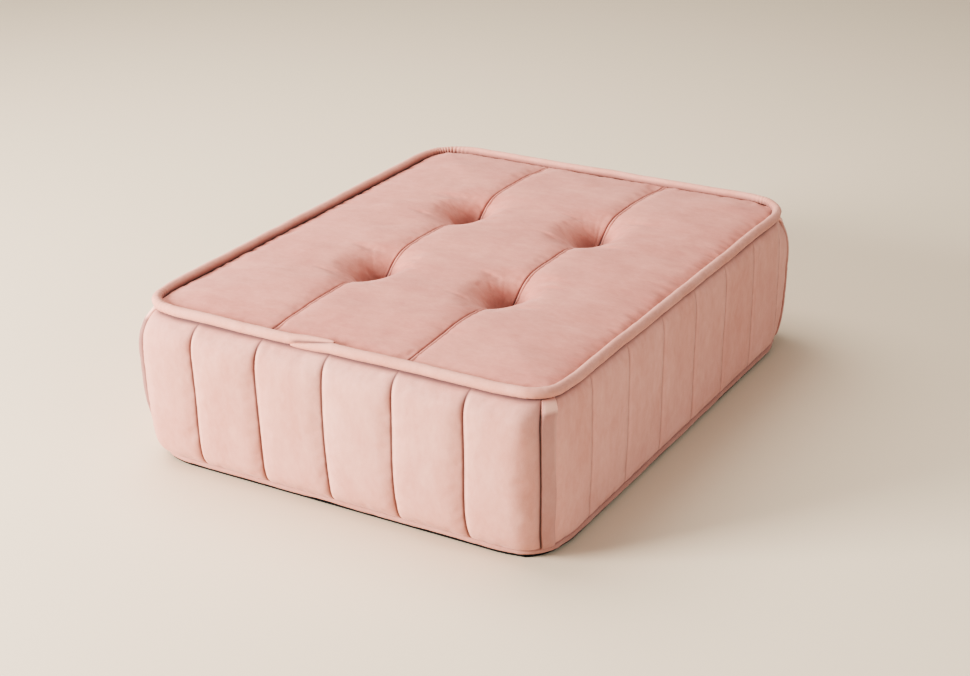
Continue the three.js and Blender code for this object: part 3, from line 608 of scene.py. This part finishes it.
def wall_shading(wall, u, z):
    """Painted shade on a wall at its seams, edges and corners and beside the strips, and painted highlight on
    the shoulder just past each seam.
    """
    gap, share, width, _ = nearest_line(u, wall_lines(wall))
    past_seam = share * width
    before_seam = width - past_seam
    corner = wall_sizes(wall)[0] + ARC - np.abs(u)
    # Painted shade at the stitch lines: a dark line at each, and a darker band just before it where the
    # channel turns away from the key lamp.
    seams = np.exp(-((gap / 1.9) ** 2)) * (0.28 + 0.08 * PUFF[wall])
    seams = np.maximum(seams, 0.05 * PUFF[wall] * np.exp(-((before_seam / 4.5) ** 2)))
    # Painted shade along the wall's top under the piping, and along its foot.
    reach = 3.6 if wall in ("right", "left") else 1.7
    edges = np.exp(-((np.minimum(z - SEAM_LOW, SEAM_HIGH - z) / reach) ** 2))
    # Painted shade at the corner seams.
    corners = 0.8 * np.exp(-((corner / 2.4) ** 2))
    # Painted shadow on a side wall beside each strip's free edge.
    beside_strip = 0.0
    if wall in ("right", "left"):
        from_strip = corner / corner_stretch(z) - STRIP_WIDTH
        beside_strip = 0.5 * np.exp(-((from_strip / 1.8) ** 2)) * smooth((z - 60) / 80)
    painted_shade = np.maximum.reduce([seams, edges, corners, beside_strip + 0 * z])
    # Painted highlight on each channel's shoulder just past its stitch line, where it faces the key lamp.
    raised_dots_and_painted_highlight = 0.05 * PUFF[wall] * np.exp(-(((past_seam - 4.5) / 2.6) ** 2))
    return {"painted_shade": painted_shade, "raised_dots_and_painted_highlight": raised_dots_and_painted_highlight * np.clip((SEAM_HIGH - z) / 12, 0, 1)}


def wall_piece(name, wall, low, high, nodes, tuck_low=True, tuck_high=True, moves=True):
    """One wall's velvet from height low to high."""
    u = wall_grid(wall)
    z = graded(low, high, 0.8, 4.0)
    height, depth = z.copy(), np.zeros(len(z))
    if tuck_high:
        z = np.append(z, [high] * len(TUCK))
        height = np.append(height, [high + past for past, _ in TUCK])
        depth = np.append(depth, [d for _, d in TUCK])
    if tuck_low:
        z = np.append([low] * len(TUCK), z)
        height = np.append([low - past for past, _ in reversed(TUCK)], height)
        depth = np.append([d for _, d in reversed(TUCK)], depth)
    uu, zz = np.meshgrid(u, z, indexing="ij")
    rise = wall_rise(wall, uu, zz) - depth
    move = wall_move(wall, u, z) if moves else 0
    outer = wall_points(wall, uu, zz, rise, height) + move
    inner = wall_points(wall, uu, zz, rise - VELVET, height) + move
    piece = shell(name, outer, inner, WALL_VELVET, wall_shading(wall, uu, zz))
    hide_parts(*nodes)


for wall in ("front", "right", "left"):
    wall_piece(f"velvet_wall_{wall}", wall, SEAM_LOW, SEAM_HIGH, [f"{wall}_boxing"])
wall_piece("velvet_wall_back", "back", ZIP_HIGH, SEAM_HIGH, ["back_boxing"], tuck_low=False)
wall_piece("velvet_zip_band", "back", SEAM_LOW, ZIP_LOW, ["back_zip_band"], tuck_high=False, moves=False)

# ------------------------------------------------------------------ top

PIPING_CORNER = 36.0  # radius of the top piping's corners in plan
TOP_GATHER = 0.72  # share of the walls' gather that the top takes
EDGE_INSET = 0.8
EDGE_HEIGHT = 210.3
EDGE_RADIUS = PIPING_CORNER - EDGE_INSET
CROWN = 11.0
TUFT_DEPTH = 45.0
TUFT_PULL = 8.0  # of it, spread wide over the top
TUFT_LENGTH, TUFT_WIDTH = 32.0, 19.0  # from the middle of a dimple to half its depth, along Y and X
NO_MOVE_RADIUS = 15.0  # round a tuft


def tuft_drop(x, y, fine):
    """Depth of the dimples, with fine folds fanning out of their far sides."""
    drop = np.zeros_like(x)
    for k, (tx, ty) in enumerate(ALL_TUFTS):
        dx, dy = x - tx, y - ty
        reach = np.hypot(TUFT_LENGTH / TUFT_WIDTH * dx, dy)
        bowl = (TUFT_DEPTH - TUFT_PULL) * 1.08 / (1 + np.exp((reach - TUFT_LENGTH) / 12.5))
        drop = drop + bowl + TUFT_PULL * np.exp(-np.hypot(dx, dy) / 60)
        if fine:
            angle = np.arctan2(dy + 6, dx)
            rng = np.random.default_rng(40 + k)
            for _ in range(9):
                at, thick, deep = rng.uniform(0.9, 2.9), rng.uniform(0.03, 0.06), rng.uniform(0.4, 1.0)
                long = rng.uniform(40, 62)
                fan = np.exp(-(((angle - at) / thick) ** 2)) * np.exp(-((reach / long) ** 3))
                drop = drop + deep * fan * smooth((reach - 8) / 14)
    return drop


def seam_gap(x):
    """Signed distance to the nearer of the top's seams, positive to its right."""
    return np.where(x > 0, x - SEAM_X, x + SEAM_X)


def top_edge(x, y):
    return np.clip(np.minimum(HALF_W - EDGE_INSET - np.abs(x), HALF_D - EDGE_INSET - np.abs(y)), 0, None)


def top_rise(x, y, fine=True):
    """Height of the top's velvet."""
    edge = top_edge(x, y)
    gap = seam_gap(x)
    crown = 4.8 * (1 - np.exp(-edge / 7)) + CROWN * (1 - np.exp(-((edge / 85) ** 1.4)))
    valley = 2.2 * np.exp(-np.abs(gap) / 13) * smooth(edge / 40)
    height = EDGE_HEIGHT + crown - valley - tuft_drop(x, y, fine)
    if not fine:
        return height
    groove = 1.5 * np.exp(-((gap / 1.2) ** 2))
    near_tuft = 0.45 + 0.55 * np.exp(-((np.abs(np.abs(y) - TUFT_Y) / 75) ** 2))
    welt = 1.3 * np.exp(-(((gap - 3.0) / 1.5) ** 2)) - 1.5 * np.exp(-(((gap - 5.7) / 0.8) ** 2))
    soft = 0.7 * ripple(x, y, 130, 5) + 0.35 * ripple(x, y, 55, 6)
    border = 0.8 * np.exp(-edge / 14) * ripple(x, y, 24, 7) * smooth(edge / 6)
    return height - groove + welt * near_tuft + soft * smooth(edge / 30) + border


def side_reach(y, inset, radius):
    """Half the top's width at y, inside a border and with round corners."""
    into = np.clip(np.abs(y) - (HALF_D - inset - radius), 0, radius)
    return HALF_W - inset - radius + np.sqrt(np.clip(radius ** 2 - into ** 2, 0, None))


def top_rows():
    """Grid rows of the top, finest at its two ends and at the tufts."""
    end = HALF_D - EDGE_INSET
    near = np.arange(TUFT_Y - 42, TUFT_Y + 46, 1.4)
    middle = graded(near[0], 0, 1.4, 4.4, both=False)[::-1]
    outer = graded(near[-1], end - 12, 1.4, 4.4, both=False)[1:]
    rim = graded(end, end - 12, 0.7, 3.0, both=False)[::-1][1:]
    half = np.concatenate([middle[1:-1], near, outer, rim])
    return np.concatenate([-half[::-1], [0], half])


def panel_points(panel, share, y, fine=True):
    """Points of a top panel; share runs across it from its left edge to its right one."""
    ss, yy = np.meshgrid(share, y, indexing="ij")
    rim = side_reach(yy, EDGE_INSET, EDGE_RADIUS)
    left, right = {"left": (-rim, -SEAM_X), "centre": (-SEAM_X, SEAM_X), "right": (SEAM_X, rim)}[panel]
    xx = left + (right - left) * ss
    return xx, yy, tucked(np.stack([xx, yy, top_rise(xx, yy, fine)], -1), TOP_GATHER)


def panel_shares(panel):
    """Grid columns of a panel, finest at its edges."""
    seam = np.concatenate([np.arange(0, 8, 0.6), np.arange(8, 45, 1.5)])
    if panel == "centre":
        half = np.concatenate([seam, graded(seam[-1], SEAM_X, 1.5, 4.0, both=False)[1:]])
        return np.concatenate([half, 2 * SEAM_X - half[::-1][1:]]) / (2 * SEAM_X)
    width = HALF_W - EDGE_INSET - SEAM_X
    seam = np.concatenate([seam, graded(seam[-1], width - 12, 1.5, 4.0, both=False)[1:]])
    rim = graded(width, width - 12, 0.7, 3.0, both=False)[::-1][1:]
    share = np.concatenate([seam, rim]) / width
    return share if panel == "right" else 1 - share[::-1]


def simulated_panel(panel):
    share = np.linspace(0, 1, round(195 / COARSE))
    y = np.linspace(EDGE_INSET - HALF_D, HALF_D - EDGE_INSET, round(740 / COARSE))
    xx, yy, points = panel_points(panel, share, y, fine=False)
    near = np.minimum.reduce([np.hypot(xx - tx, yy - ty) for tx, ty in ALL_TUFTS])
    seam = np.abs(seam_gap(xx)) < 1
    pinned = (top_edge(xx, yy) < 1) | seam | (near < NO_MOVE_RADIUS)
    pinned[:, [0, -1]] = True
    pinned[[0, -1]] = True
    rng = np.random.default_rng(len(panel))
    points[..., 2] += np.where(pinned, 0, rng.uniform(-JITTER, JITTER, xx.shape))
    return share, y, settled(points, pinned, 0.01, 2.2)


PANEL_MOVES = {panel: simulated_panel(panel) for panel in ("left", "centre", "right")}

for panel, (old_share, old_y, moves) in PANEL_MOVES.items():
    share, y = panel_shares(panel), top_rows()
    xx, yy, outer = panel_points(panel, share, y)
    outer = outer + resampled(resampled(moves, old_share, share, 0), old_y, y, 1)
    # Painted shade: dark lines along the seams and welts, in the dimples and along the border under the
    # piping.
    wells = smooth((tuft_drop(xx, yy, fine=True) - 12) / 26)
    gap, border = seam_gap(xx), np.clip(top_edge(xx, yy) - 5.5, 0, None)
    painted_shade = 0.75 * np.exp(-((gap / 1.1) ** 2)) + 0.35 * np.exp(-(((gap - 5.6) / 0.8) ** 2)) + 0.42 * wells
    painted_shade = painted_shade + 0.95 * np.exp(-((border / 2.0) ** 2))
    looks = {"painted_shade": np.clip(painted_shade, 0, 1)}
    piece = shell(f"velvet_top_{panel}", outer, outer - [0, 0, VELVET], TOP_VELVET, looks)
    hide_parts(f"top_panel_{panel}")

# ------------------------------------------------------------------ piping

PIPING_SIDES, CORD_SIDES, COIL_SIDES = 24, 10, 6  # of the tubes' sections


def rounded_path(half_w, half_d, radius, start_x, over, fine, coarse, side=-1):
    """A way round a rounded rectangle, counterclockwise seen from above.

    It starts at start_x on the front (or the back, for side 1), goes once round and runs on by `over`.
    Returns points in plan, outward normals, the length so far and the closeness to a corner.
    """
    wide, deep = 2 * (half_w - radius), 2 * (half_d - radius)
    arc = radius * math.pi / 2
    total = 2 * wide + 2 * deep + 4 * arc
    lengths = [wide / 2, arc, deep, arc, wide, arc, deep, arc, wide / 2]
    knots = np.cumsum([0, *lengths])
    s = [0.0]
    while s[-1] < total + over:
        at = (s[-1] + start_x) % total
        bends = min(abs(at - (knots[k] + arc / 2)) for k in (1, 3, 5, 7))
        near_end = min(s[-1], total + over - s[-1]) < 90
        s.append(s[-1] + (fine if near_end or bends < 45 else coarse))
    s = np.array(s) * ((total + over) / s[-1])
    at = (s + start_x) % total
    points, normals, bend = np.zeros((len(s), 2)), np.zeros((len(s), 2)), np.zeros(len(s))
    corners = [(1, -1), (1, 1), (-1, 1), (-1, -1)]
    for k, a in enumerate(at):
        part = min(np.searchsorted(knots, a, side="right") - 1, 8)
        into = a - knots[part]
        if part % 2:
            cx, cy = corners[part // 2]
            angle = -math.pi / 2 + (part // 2) * math.pi / 2 + into / radius
            normals[k] = math.cos(angle), math.sin(angle)
            points[k] = cx * (half_w - radius), cy * (half_d - radius)
            points[k] += radius * normals[k]
        else:
            face = part // 2 % 4
            normals[k] = [(0, -1), (1, 0), (0, 1), (-1, 0)][face]
            run = into - [0, deep / 2, wide / 2, deep / 2, wide / 2][part // 2]
            tangent = np.array([-normals[k][1], normals[k][0]])
            points[k] = normals[k] * (half_d if face in (0, 2) else half_w) + tangent * run
        from_corner = min(abs(a - (knots[j] + arc / 2)) for j in (1, 3, 5, 7))
        bend[k] = math.exp(-((from_corner / (arc * 0.75)) ** 2))
    if side > 0:
        points, normals = -points, -normals
    return points, normals, s, bend


def tube(name, centres, sideways, upward, radii, material, attributes=None):
    """A swept tube. radii has a row per centre and a column per side; angle 0 points sideways, then up."""
    n, sides = radii.shape
    angles = np.arange(sides) * 2 * math.pi / sides
    ring = np.cos(angles)[None, :, None] * sideways[:, None] + np.sin(angles)[None, :, None] * upward[:, None]
    points = (centres[:, None] + ring * radii[..., None]).reshape(-1, 3)
    a = np.arange(n - 1)[:, None] * sides + np.arange(sides)[None, :]
    b = np.arange(n - 1)[:, None] * sides + (np.arange(sides)[None, :] + 1) % sides
    faces = [tuple(f) for f in np.stack([a, b, b + sides, a + sides], -1).reshape(-1, 4)]
    faces += [tuple(range(sides))[::-1], tuple(range((n - 1) * sides, n * sides))]
    return mesh_object(name, points, faces, material, attributes)


def facing(angle, towards, width):
    """1 on the side of a tube that faces an angle, and 0 away from it."""
    return np.exp(-((np.angle(np.exp(1j * (angle - towards))) / width) ** 2))


def piping(name, node, half_w, half_d, height, radius, corner, start_x, over, side, seed, fold, shade=0.0):
    """Piping with a velvet sleeve. Its first end lies outside and low, and its last end over that, inside."""
    plan, normal, s, bend = rounded_path(half_w, half_d, corner, start_x, over, 1.3, 3.6, side)
    end = s[-1] - s
    first, last = np.clip(1 - s / over, 0, 1), np.clip(1 - end / over, 0, 1)
    grow = 1 - first - last
    wobble = 0.5 * ripple(s, 0 * s, 120, seed) + 0.25 * ripple(s, 0 * s, 37, seed + 1)
    out = radius * (0.6 * first - 0.9 * last) + wobble
    up = radius * (0.85 * last - 0.9 * first) + 0.5 * ripple(s, 0 * s, 90, seed + 2)
    normal3 = np.concatenate([normal, np.zeros((len(s), 1))], -1)
    centres = np.concatenate([plan + normal * out[:, None], (height + up)[:, None]], -1)
    upward = np.broadcast_to([0.0, 0.0, 1.0], centres.shape)
    angles = np.arange(PIPING_SIDES) * 2 * math.pi / PIPING_SIDES
    ss, aa = np.meshgrid(s, angles, indexing="ij")
    inner = 0.5 - 0.5 * np.cos(aa - 0.5)
    smooth_corner = (plan[:, 0] > 0) & (plan[:, 1] < 0)
    bend = np.where(smooth_corner, 0.15, 1) * bend
    puckers = np.sin(ss * 0.9 + 1.6 * np.sin(ss * 0.11 + seed))
    creases = fold * bend[:, None] * (0.25 + inner) * (puckers - 0.6 * np.abs(puckers))
    drag = 0.12 * ripple(ss, aa * radius * 2.5, 14, seed + 3)
    pinch = 0.5 * facing(aa, -2.0, 0.45)
    # Painted shade in the crevice where the two ends of the run overlap.
    parted = smooth(6 * first)[:, None] * facing(aa, 1.75, 0.4)
    parted = parted + smooth(6 * last)[:, None] * facing(aa, -0.1, 0.35)
    # Painted shade: an even amount given by shade, more on the side facing away from the key lamp, under and
    # inside the tube, and in the puckers at the corners.
    dark = shade + 0.16 * np.clip(normal[:, :1], 0, 1) + 0.85 * parted
    dark = dark + 0.8 * facing(aa, -1.9, 0.75) + 0.5 * facing(aa, math.pi, 0.5)
    dark = dark + 0.5 * fold * bend[:, None] * np.clip(-puckers - 0.3, 0, 1) * inner
    full = radius * (0.12 + 0.88 * np.sqrt(grow))
    radii = full[:, None] + (creases + drag - pinch) * grow[:, None]
    centres = tucked(centres, TOP_GATHER)
    painted_shade = {"painted_shade": np.clip(dark, 0, 1).ravel()}
    piece = tube(name, centres, normal3, upward, radii, TRIM_VELVET, painted_shade)
    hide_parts(f"{node}_sleeve")
    core = np.repeat(0.8 * full[:, None], CORD_SIDES, 1)
    strand = tube(f"{name}_cord", centres, normal3, upward, core, CORD)
    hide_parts(f"{node}_cord")


FOOT_W = HALF_W + SIDE_SWELL * float(fullness(FOOT_SEAM))  # walls' lower seams
FOOT_D = HALF_D + FRONT_SWELL * float(fullness(FOOT_SEAM))
FOOT_CORNER = 38.0  # radius of the lower piping's and the base's corners in plan

piping(
    "piping_top", "top_piping", HALF_W, HALF_D, height=216.3, radius=6.9, corner=PIPING_CORNER,
    start_x=-58, over=60, side=-1, seed=61, fold=0.8,
)
# The lower piping gets extra painted shade all along.
piping(
    "piping_bottom", "bottom_piping", FOOT_W - 4, FOOT_D - 6, height=8.3, radius=4.3, corner=FOOT_CORNER,
    start_x=60, over=40, side=1, seed=71, fold=0.4, shade=0.3,
)

# ------------------------------------------------------------------ strips folded over the corner seams

# The side wall that each strip is folded over, and at which of its ends.
FLANGES = {
    "front_right": ("right", -1), "back_right": ("right", 1),
    "front_left": ("left", 1), "back_left": ("left", -1),
}
STRIP_LOW, STRIP_HIGH = 12.5, 208.2
STRIP_LOFT = {"front_left": 5.0}  # how far a strip that doesn't lie flat stands off half way up


def flange(corner):
    """A strip sewn into a corner seam and folded over the side wall: a closed profile swept up the wall."""
    wall, end = FLANGES[corner]
    seed = SEEDS[wall] + end
    # The profile: up its fold at the corner seam, out over the wall, round its free edge and back under it.
    fold_across, fold_lift = [0.6, 0.1, 0.0, 0.5, 1.6], [-3.0, -0.6, 1.2, 2.6, 3.2]
    face_across, face_lift = [4, 7, 10, 13, 16.5, 19.5], [3.1, 2.9, 2.8, 2.8, 2.8, 2.7]
    edge_across, edge_lift = [20.6, STRIP_WIDTH, 20.7], [2.2, 1.0, -0.2]
    under_across, under_lift = [19.5, 14, 8, 2.5], [-0.6, -0.8, -0.8, -1.4]
    across = np.array(fold_across + face_across + edge_across + under_across)
    lift = np.array(fold_lift + face_lift + edge_lift + under_lift)
    z = graded(STRIP_LOW, STRIP_HIGH, 1.0, 4.5)
    ww, zz = np.meshgrid(across, z, indexing="xy")
    ll = np.broadcast_to(lift, ww.shape)
    share = ww / STRIP_WIDTH
    narrow = 1 - 0.10 * smooth((zz - (STRIP_HIGH - 12)) / 12) - 0.06 * smooth((STRIP_LOW + 14 - zz) / 14)
    top = smooth((STRIP_HIGH - zz) / 3.0)
    bend = 2.6 * np.clip(1 - np.abs(STRIP_HIGH - 13 - zz) / 12, 0, 1) ** 1.3
    wander = 0.5 * ripple(zz, 0 * zz, 60, seed)
    reach = wall_sizes(wall)[0] + ARC
    u = end * (reach - (ww * narrow + wander * share) * corner_stretch(zz))
    puff = wall_rise(wall, u, zz, fine=False)
    fold = 0.9 * np.exp(-(((ww - 13) / 4.0) ** 2)) * smooth((120 - zz) / 70)
    lifted = np.where(ll > 0, ll * (0.25 + 0.75 * top) + fold + bend * smooth(ww / 3), ll)
    loft = STRIP_LOFT.get(corner, 0) * smooth((zz - 30) / 70) * smooth((STRIP_HIGH - zz) / 30)
    lifted = lifted + loft * smooth(ww / 4) * smooth((24 - ww) / 14)
    free = 0.9 * smooth((share - 0.7) / 0.3) * (0.5 + 0.5 * ripple(zz, 0 * zz, 80, seed + 5)) * (ll > 0)
    points = wall_points(wall, u, zz, puff + lifted + free) + wall_move_at(wall, u, zz)
    n, m = len(z), len(across)
    a = np.arange(n - 1)[:, None] * m + np.arange(m)[None, :]
    b = np.arange(n - 1)[:, None] * m + (np.arange(m)[None, :] + 1) % m
    quads = np.stack([a, b, b + m, a + m], -1).reshape(-1, 4)
    caps = [tuple(range(m))[::-1], tuple(range((n - 1) * m, n * m))]
    faces = [tuple(f) for f in quads] + caps
    if end < 0:
        faces = [f[::-1] for f in faces]
    # Painted shade over the strip's face, deeper on the strip that stands off, with a dark line at its fold
    # and none on its turned top end.
    shade = 0.58 if corner in STRIP_LOFT else 0.34
    painted_shade = np.maximum(0.8 * np.exp(-((ww / 1.6) ** 2)), shade) * (1 - smooth((zz - (STRIP_HIGH - 13)) / 3))
    # Painted highlight on the turned-over top end and along the free edge.
    turned = np.exp(-(((zz - (STRIP_HIGH - 6)) / 5) ** 4)) * smooth((ww - 1.5) / 1.5)
    rim = 0.35 * np.exp(-(((ww - 20) / 1.3) ** 2)) * smooth((zz - 90) / 60)
    looks = {"painted_shade": painted_shade.ravel(), "raised_dots_and_painted_highlight": np.maximum(0.85 * turned, rim).ravel()}
    piece = mesh_object(f"velvet_strip_{corner}", points.reshape(-1, 3), faces, WALL_VELVET, looks)
    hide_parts(f"corner_flange_{corner}")


for corner in FLANGES:
    flange(corner)

# ------------------------------------------------------------------ black base

def base_sheet():
    """The non-slip base: flat under the foam, and turned up at its rim into the lower piping."""
    half_w, half_d, radius = FOOT_W - 2.8, FOOT_D - 4.2, FOOT_CORNER
    y = graded(-half_d, half_d, 1.0, 5.0)
    share = graded(-1, 1, 0.004, 0.04)
    ss, yy = np.meshgrid(share, y, indexing="ij")
    into = np.clip(np.abs(yy) - (half_d - radius), 0, radius)
    rim = half_w - radius + np.sqrt(np.clip(radius ** 2 - into ** 2, 0, None))
    xx = ss * rim
    edge = np.minimum(rim - np.abs(xx), half_d - np.abs(yy))
    lift = 2.4 * np.exp(-((edge / 1.5) ** 2))
    sag = 0.25 * (1 + ripple(xx, yy, 70, 91)) * smooth(edge / 20)
    low = tucked(np.stack([xx, yy, 0.05 + lift + sag], -1))
    high = low + [0, 0, 1.4]
    piece = shell("grip_base", high, low, GRIP)
    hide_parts("bottom_panel")


base_sheet()

# ------------------------------------------------------------------ wadding behind the velvet

WADDING_THICKNESS = 8.0


def top_wadding():
    inset, radius = 12.5, 18.0
    y = np.linspace(inset - HALF_D, HALF_D - inset, 150)
    share = np.linspace(-1, 1, 122)
    ss, yy = np.meshgrid(share, y, indexing="ij")
    xx = ss * side_reach(yy, inset, radius)
    velvet = eroded(top_rise(xx, yy, fine=False), 1, 1) - 4.2
    high = tucked(np.stack([xx, yy, velvet + 0.4 * ripple(xx, yy, 26, 81)], -1), TOP_GATHER)
    wells = sum(np.exp(-(((xx - tx) / 25) ** 2) - ((yy - ty) / 38) ** 2) for tx, ty in ALL_TUFTS)
    foam = 203.3 + 11 * (1 - np.exp(-((top_edge(xx, yy) / 90) ** 2))) - 44 * wells
    low = high - [0, 0, WADDING_THICKNESS - 2]
    low[..., 2] = np.minimum(np.maximum(low[..., 2], np.maximum(foam, 172)), high[..., 2] - 0.8)
    piece = shell("wadding_top", high, low, WADDING)
    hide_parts("top_wadding")


def wall_wadding(wall):
    lines = wall_lines(wall)
    u = np.linspace(lines[0] + 2, lines[-1] - 2, 110)
    z = np.linspace(44 if wall == "back" else 23, 198, 40)
    uu, zz = np.meshgrid(u, z, indexing="ij")
    rise = eroded(wall_rise(wall, uu, zz, fine=False), 1, 1)
    foam = np.full_like(zz, -10.6)
    outer = np.maximum(rise - 4.0 + 0.3 * ripple(uu, zz, 24, SEEDS[wall] + 7), foam + 1)
    faces = [wall_points(wall, uu, zz, rise) for rise in (outer, foam)]
    piece = shell(f"wadding_{wall}", *faces, WADDING)
    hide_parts(f"{wall}_wadding")


top_wadding()
for wall in WALL_FACES:
    wall_wadding(wall)

# ------------------------------------------------------------------ zip

ZIP_MIDDLE = (ZIP_LOW + ZIP_HIGH) / 2
ZIP_INSET = 3.5
ZIP_TILT = -math.atan2(FRONT_SWELL * float(fullness(ZIP_HIGH) - fullness(ZIP_LOW)), ZIP_HIGH - ZIP_LOW)
ZIP_ORIGIN = np.array([0, HALF_D + FRONT_SWELL * float(fullness(ZIP_MIDDLE)) - ZIP_INSET, ZIP_MIDDLE])


def zip_frame(points):
    """Points from the zip's own frame (x along it, y outward, z up the wall) to the cushion's."""
    c, s = math.cos(ZIP_TILT), math.sin(ZIP_TILT)
    x, y, z = points[..., 0], points[..., 1], points[..., 2]
    return np.stack([x, y * c - z * s, y * s + z * c], -1) + ZIP_ORIGIN


def zip_row(name, side):
    """One tape, with its coil of teeth."""
    x = np.linspace(260, -260, 131)
    across = np.array([0.9, 1.6, 3.3, 5.0, 7.0, 9.5, 12.0])
    xx, aa = np.meshgrid(x, across, indexing="ij")
    wave = 0.12 * ripple(xx, aa, 30, 97 + side) * smooth((aa - 3) / 6)
    face = [np.stack([xx, wave + half, side * aa], -1) for half in (0.35, -0.35)]
    if side < 0:
        face = [f[::-1] for f in face]
    tape = shell(f"zip_tape_{name}_woven", zip_frame(face[0]), zip_frame(face[1]), ZIP_TAPE)
    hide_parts(f"zip_tape_{name}")
    pitch, steps = 2.0, 8
    t = np.arange(-251 / pitch * steps, 251 / pitch * steps + 1) / steps
    angle = 2 * math.pi * t + (math.pi if side > 0 else 0)
    centres = np.stack([t * pitch, 0.95 * np.sin(angle), side * (1.65 + 0.95 * np.cos(angle))], -1)
    along = np.gradient(centres, axis=0)
    along /= np.linalg.norm(along, axis=1, keepdims=True)
    aside = np.cross(along, [1.0, 0.0, 0.0])
    aside /= np.linalg.norm(aside, axis=1, keepdims=True)
    other = np.cross(along, aside)
    radii = np.full((len(t), COIL_SIDES), 0.36)
    origin = zip_frame(np.zeros(3))
    ways = [zip_frame(way) - origin for way in (aside, other)]
    coil = tube(f"zip_coil_{name}", zip_frame(centres), *ways, radii, ZIP_TAPE)


zip_row("upper", 1)
zip_row("lower", -1)


TAB_DEPTH = 1.3  # flat under the zip's pull
TAB_START = 258.5  # over the ends of the tapes


def end_tab(name, side):
    """A velvet tab past one end of the zip, rolled in at its edges."""
    reach = wall_sizes("back")[0] + ARC
    u = graded(TAB_START, reach, 0.8, 3.0) if side < 0 else graded(-reach, -TAB_START, 0.8, 3.0)
    z = graded(ZIP_LOW - 1.0, ZIP_HIGH + 1.0, 0.5, 1.6)
    uu, zz = np.meshgrid(u, z, indexing="ij")
    edge = np.minimum(zz - z[0], z[-1] - zz)
    rise = 0.2 * ripple(uu, zz, 18, SEEDS["back"] + side) - 0.9 * np.exp(-((edge / 1.1) ** 2)) - TAB_DEPTH
    faces = [wall_points("back", uu, zz, rise - depth) for depth in (0, VELVET)]
    tab = shell(f"velvet_zip_tab_{name}", *faces, WALL_VELVET)
    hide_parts(f"zip_end_tab_{name}")


end_tab("right", -1)
end_tab("left", 1)

# ------------------------------------------------------------------ finishes of the CAD's own pieces

FINISHES = {
    "foam_base_layer": BASE_FOAM,
    "foam_core": CORE_FOAM,
    "foam_comfort_layer": COMFORT_FOAM,
    "tuft_loop": WEBBING,
    "tuft_cord": TWINE,
    "tuft_washer": NYLON,
    "zip_": ZIP_METAL,
}
for node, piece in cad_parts.items():
    for start, finish in FINISHES.items():
        if node.startswith(start):
            piece.data.materials.clear()
            piece.data.materials.append(finish)

# ------------------------------------------------------------------ stage and light

floor = bpy.data.objects.new("floor", bpy.data.meshes.new("floor"))
floor.data.from_pydata([(-6, -6, 0), (6, -6, 0), (6, 6, 0), (-6, 6, 0)], [], [(0, 1, 2, 3)])
floor_nodes = Nodes("floor")
floor_nodes.set(Base_Color=(*srgb("e2d2ba"), 1), Roughness=0.9)
floor.data.materials.append(floor_nodes.material)
bpy.context.scene.collection.objects.link(floor)


def area_light(name, place, aim, size, power, colour=(1, 1, 1)):
    data = bpy.data.lights.new(name, "AREA")
    data.shape = "RECTANGLE"
    data.size, data.size_y = size
    data.energy = power
    data.color = colour
    lamp = bpy.data.objects.new(name, data)
    lamp.location = place
    lamp.rotation_mode = "QUATERNION"
    lamp.rotation_quaternion = (Vector(aim) - Vector(place)).to_track_quat("-Z", "Y")
    bpy.context.scene.collection.objects.link(lamp)


area_light("key", (-2.2, -2.7, 1.2), (0, 0, 0.1), (1.3, 1.1), 225, (1.0, 0.985, 0.97))
area_light("sky", (-1.2, 0.3, 2.6), (0, 0, 0.1), (2.4, 2.4), 64, (1.0, 0.955, 0.92))
area_light("fill", (2.8, -0.8, 1.0), (0, 0, 0.1), (2.0, 1.6), 29, (0.91, 0.96, 1.0))

world = bpy.data.worlds.new("studio")
world.use_nodes = True
world.node_tree.nodes["Background"].inputs["Color"].default_value = (0.92, 0.9, 0.87, 1)
world.node_tree.nodes["Background"].inputs["Strength"].default_value = 0.36
bpy.context.scene.world = world
bpy.context.scene.view_settings.view_transform = "AgX"
bpy.context.scene.view_settings.look = "AgX - High Contrast"
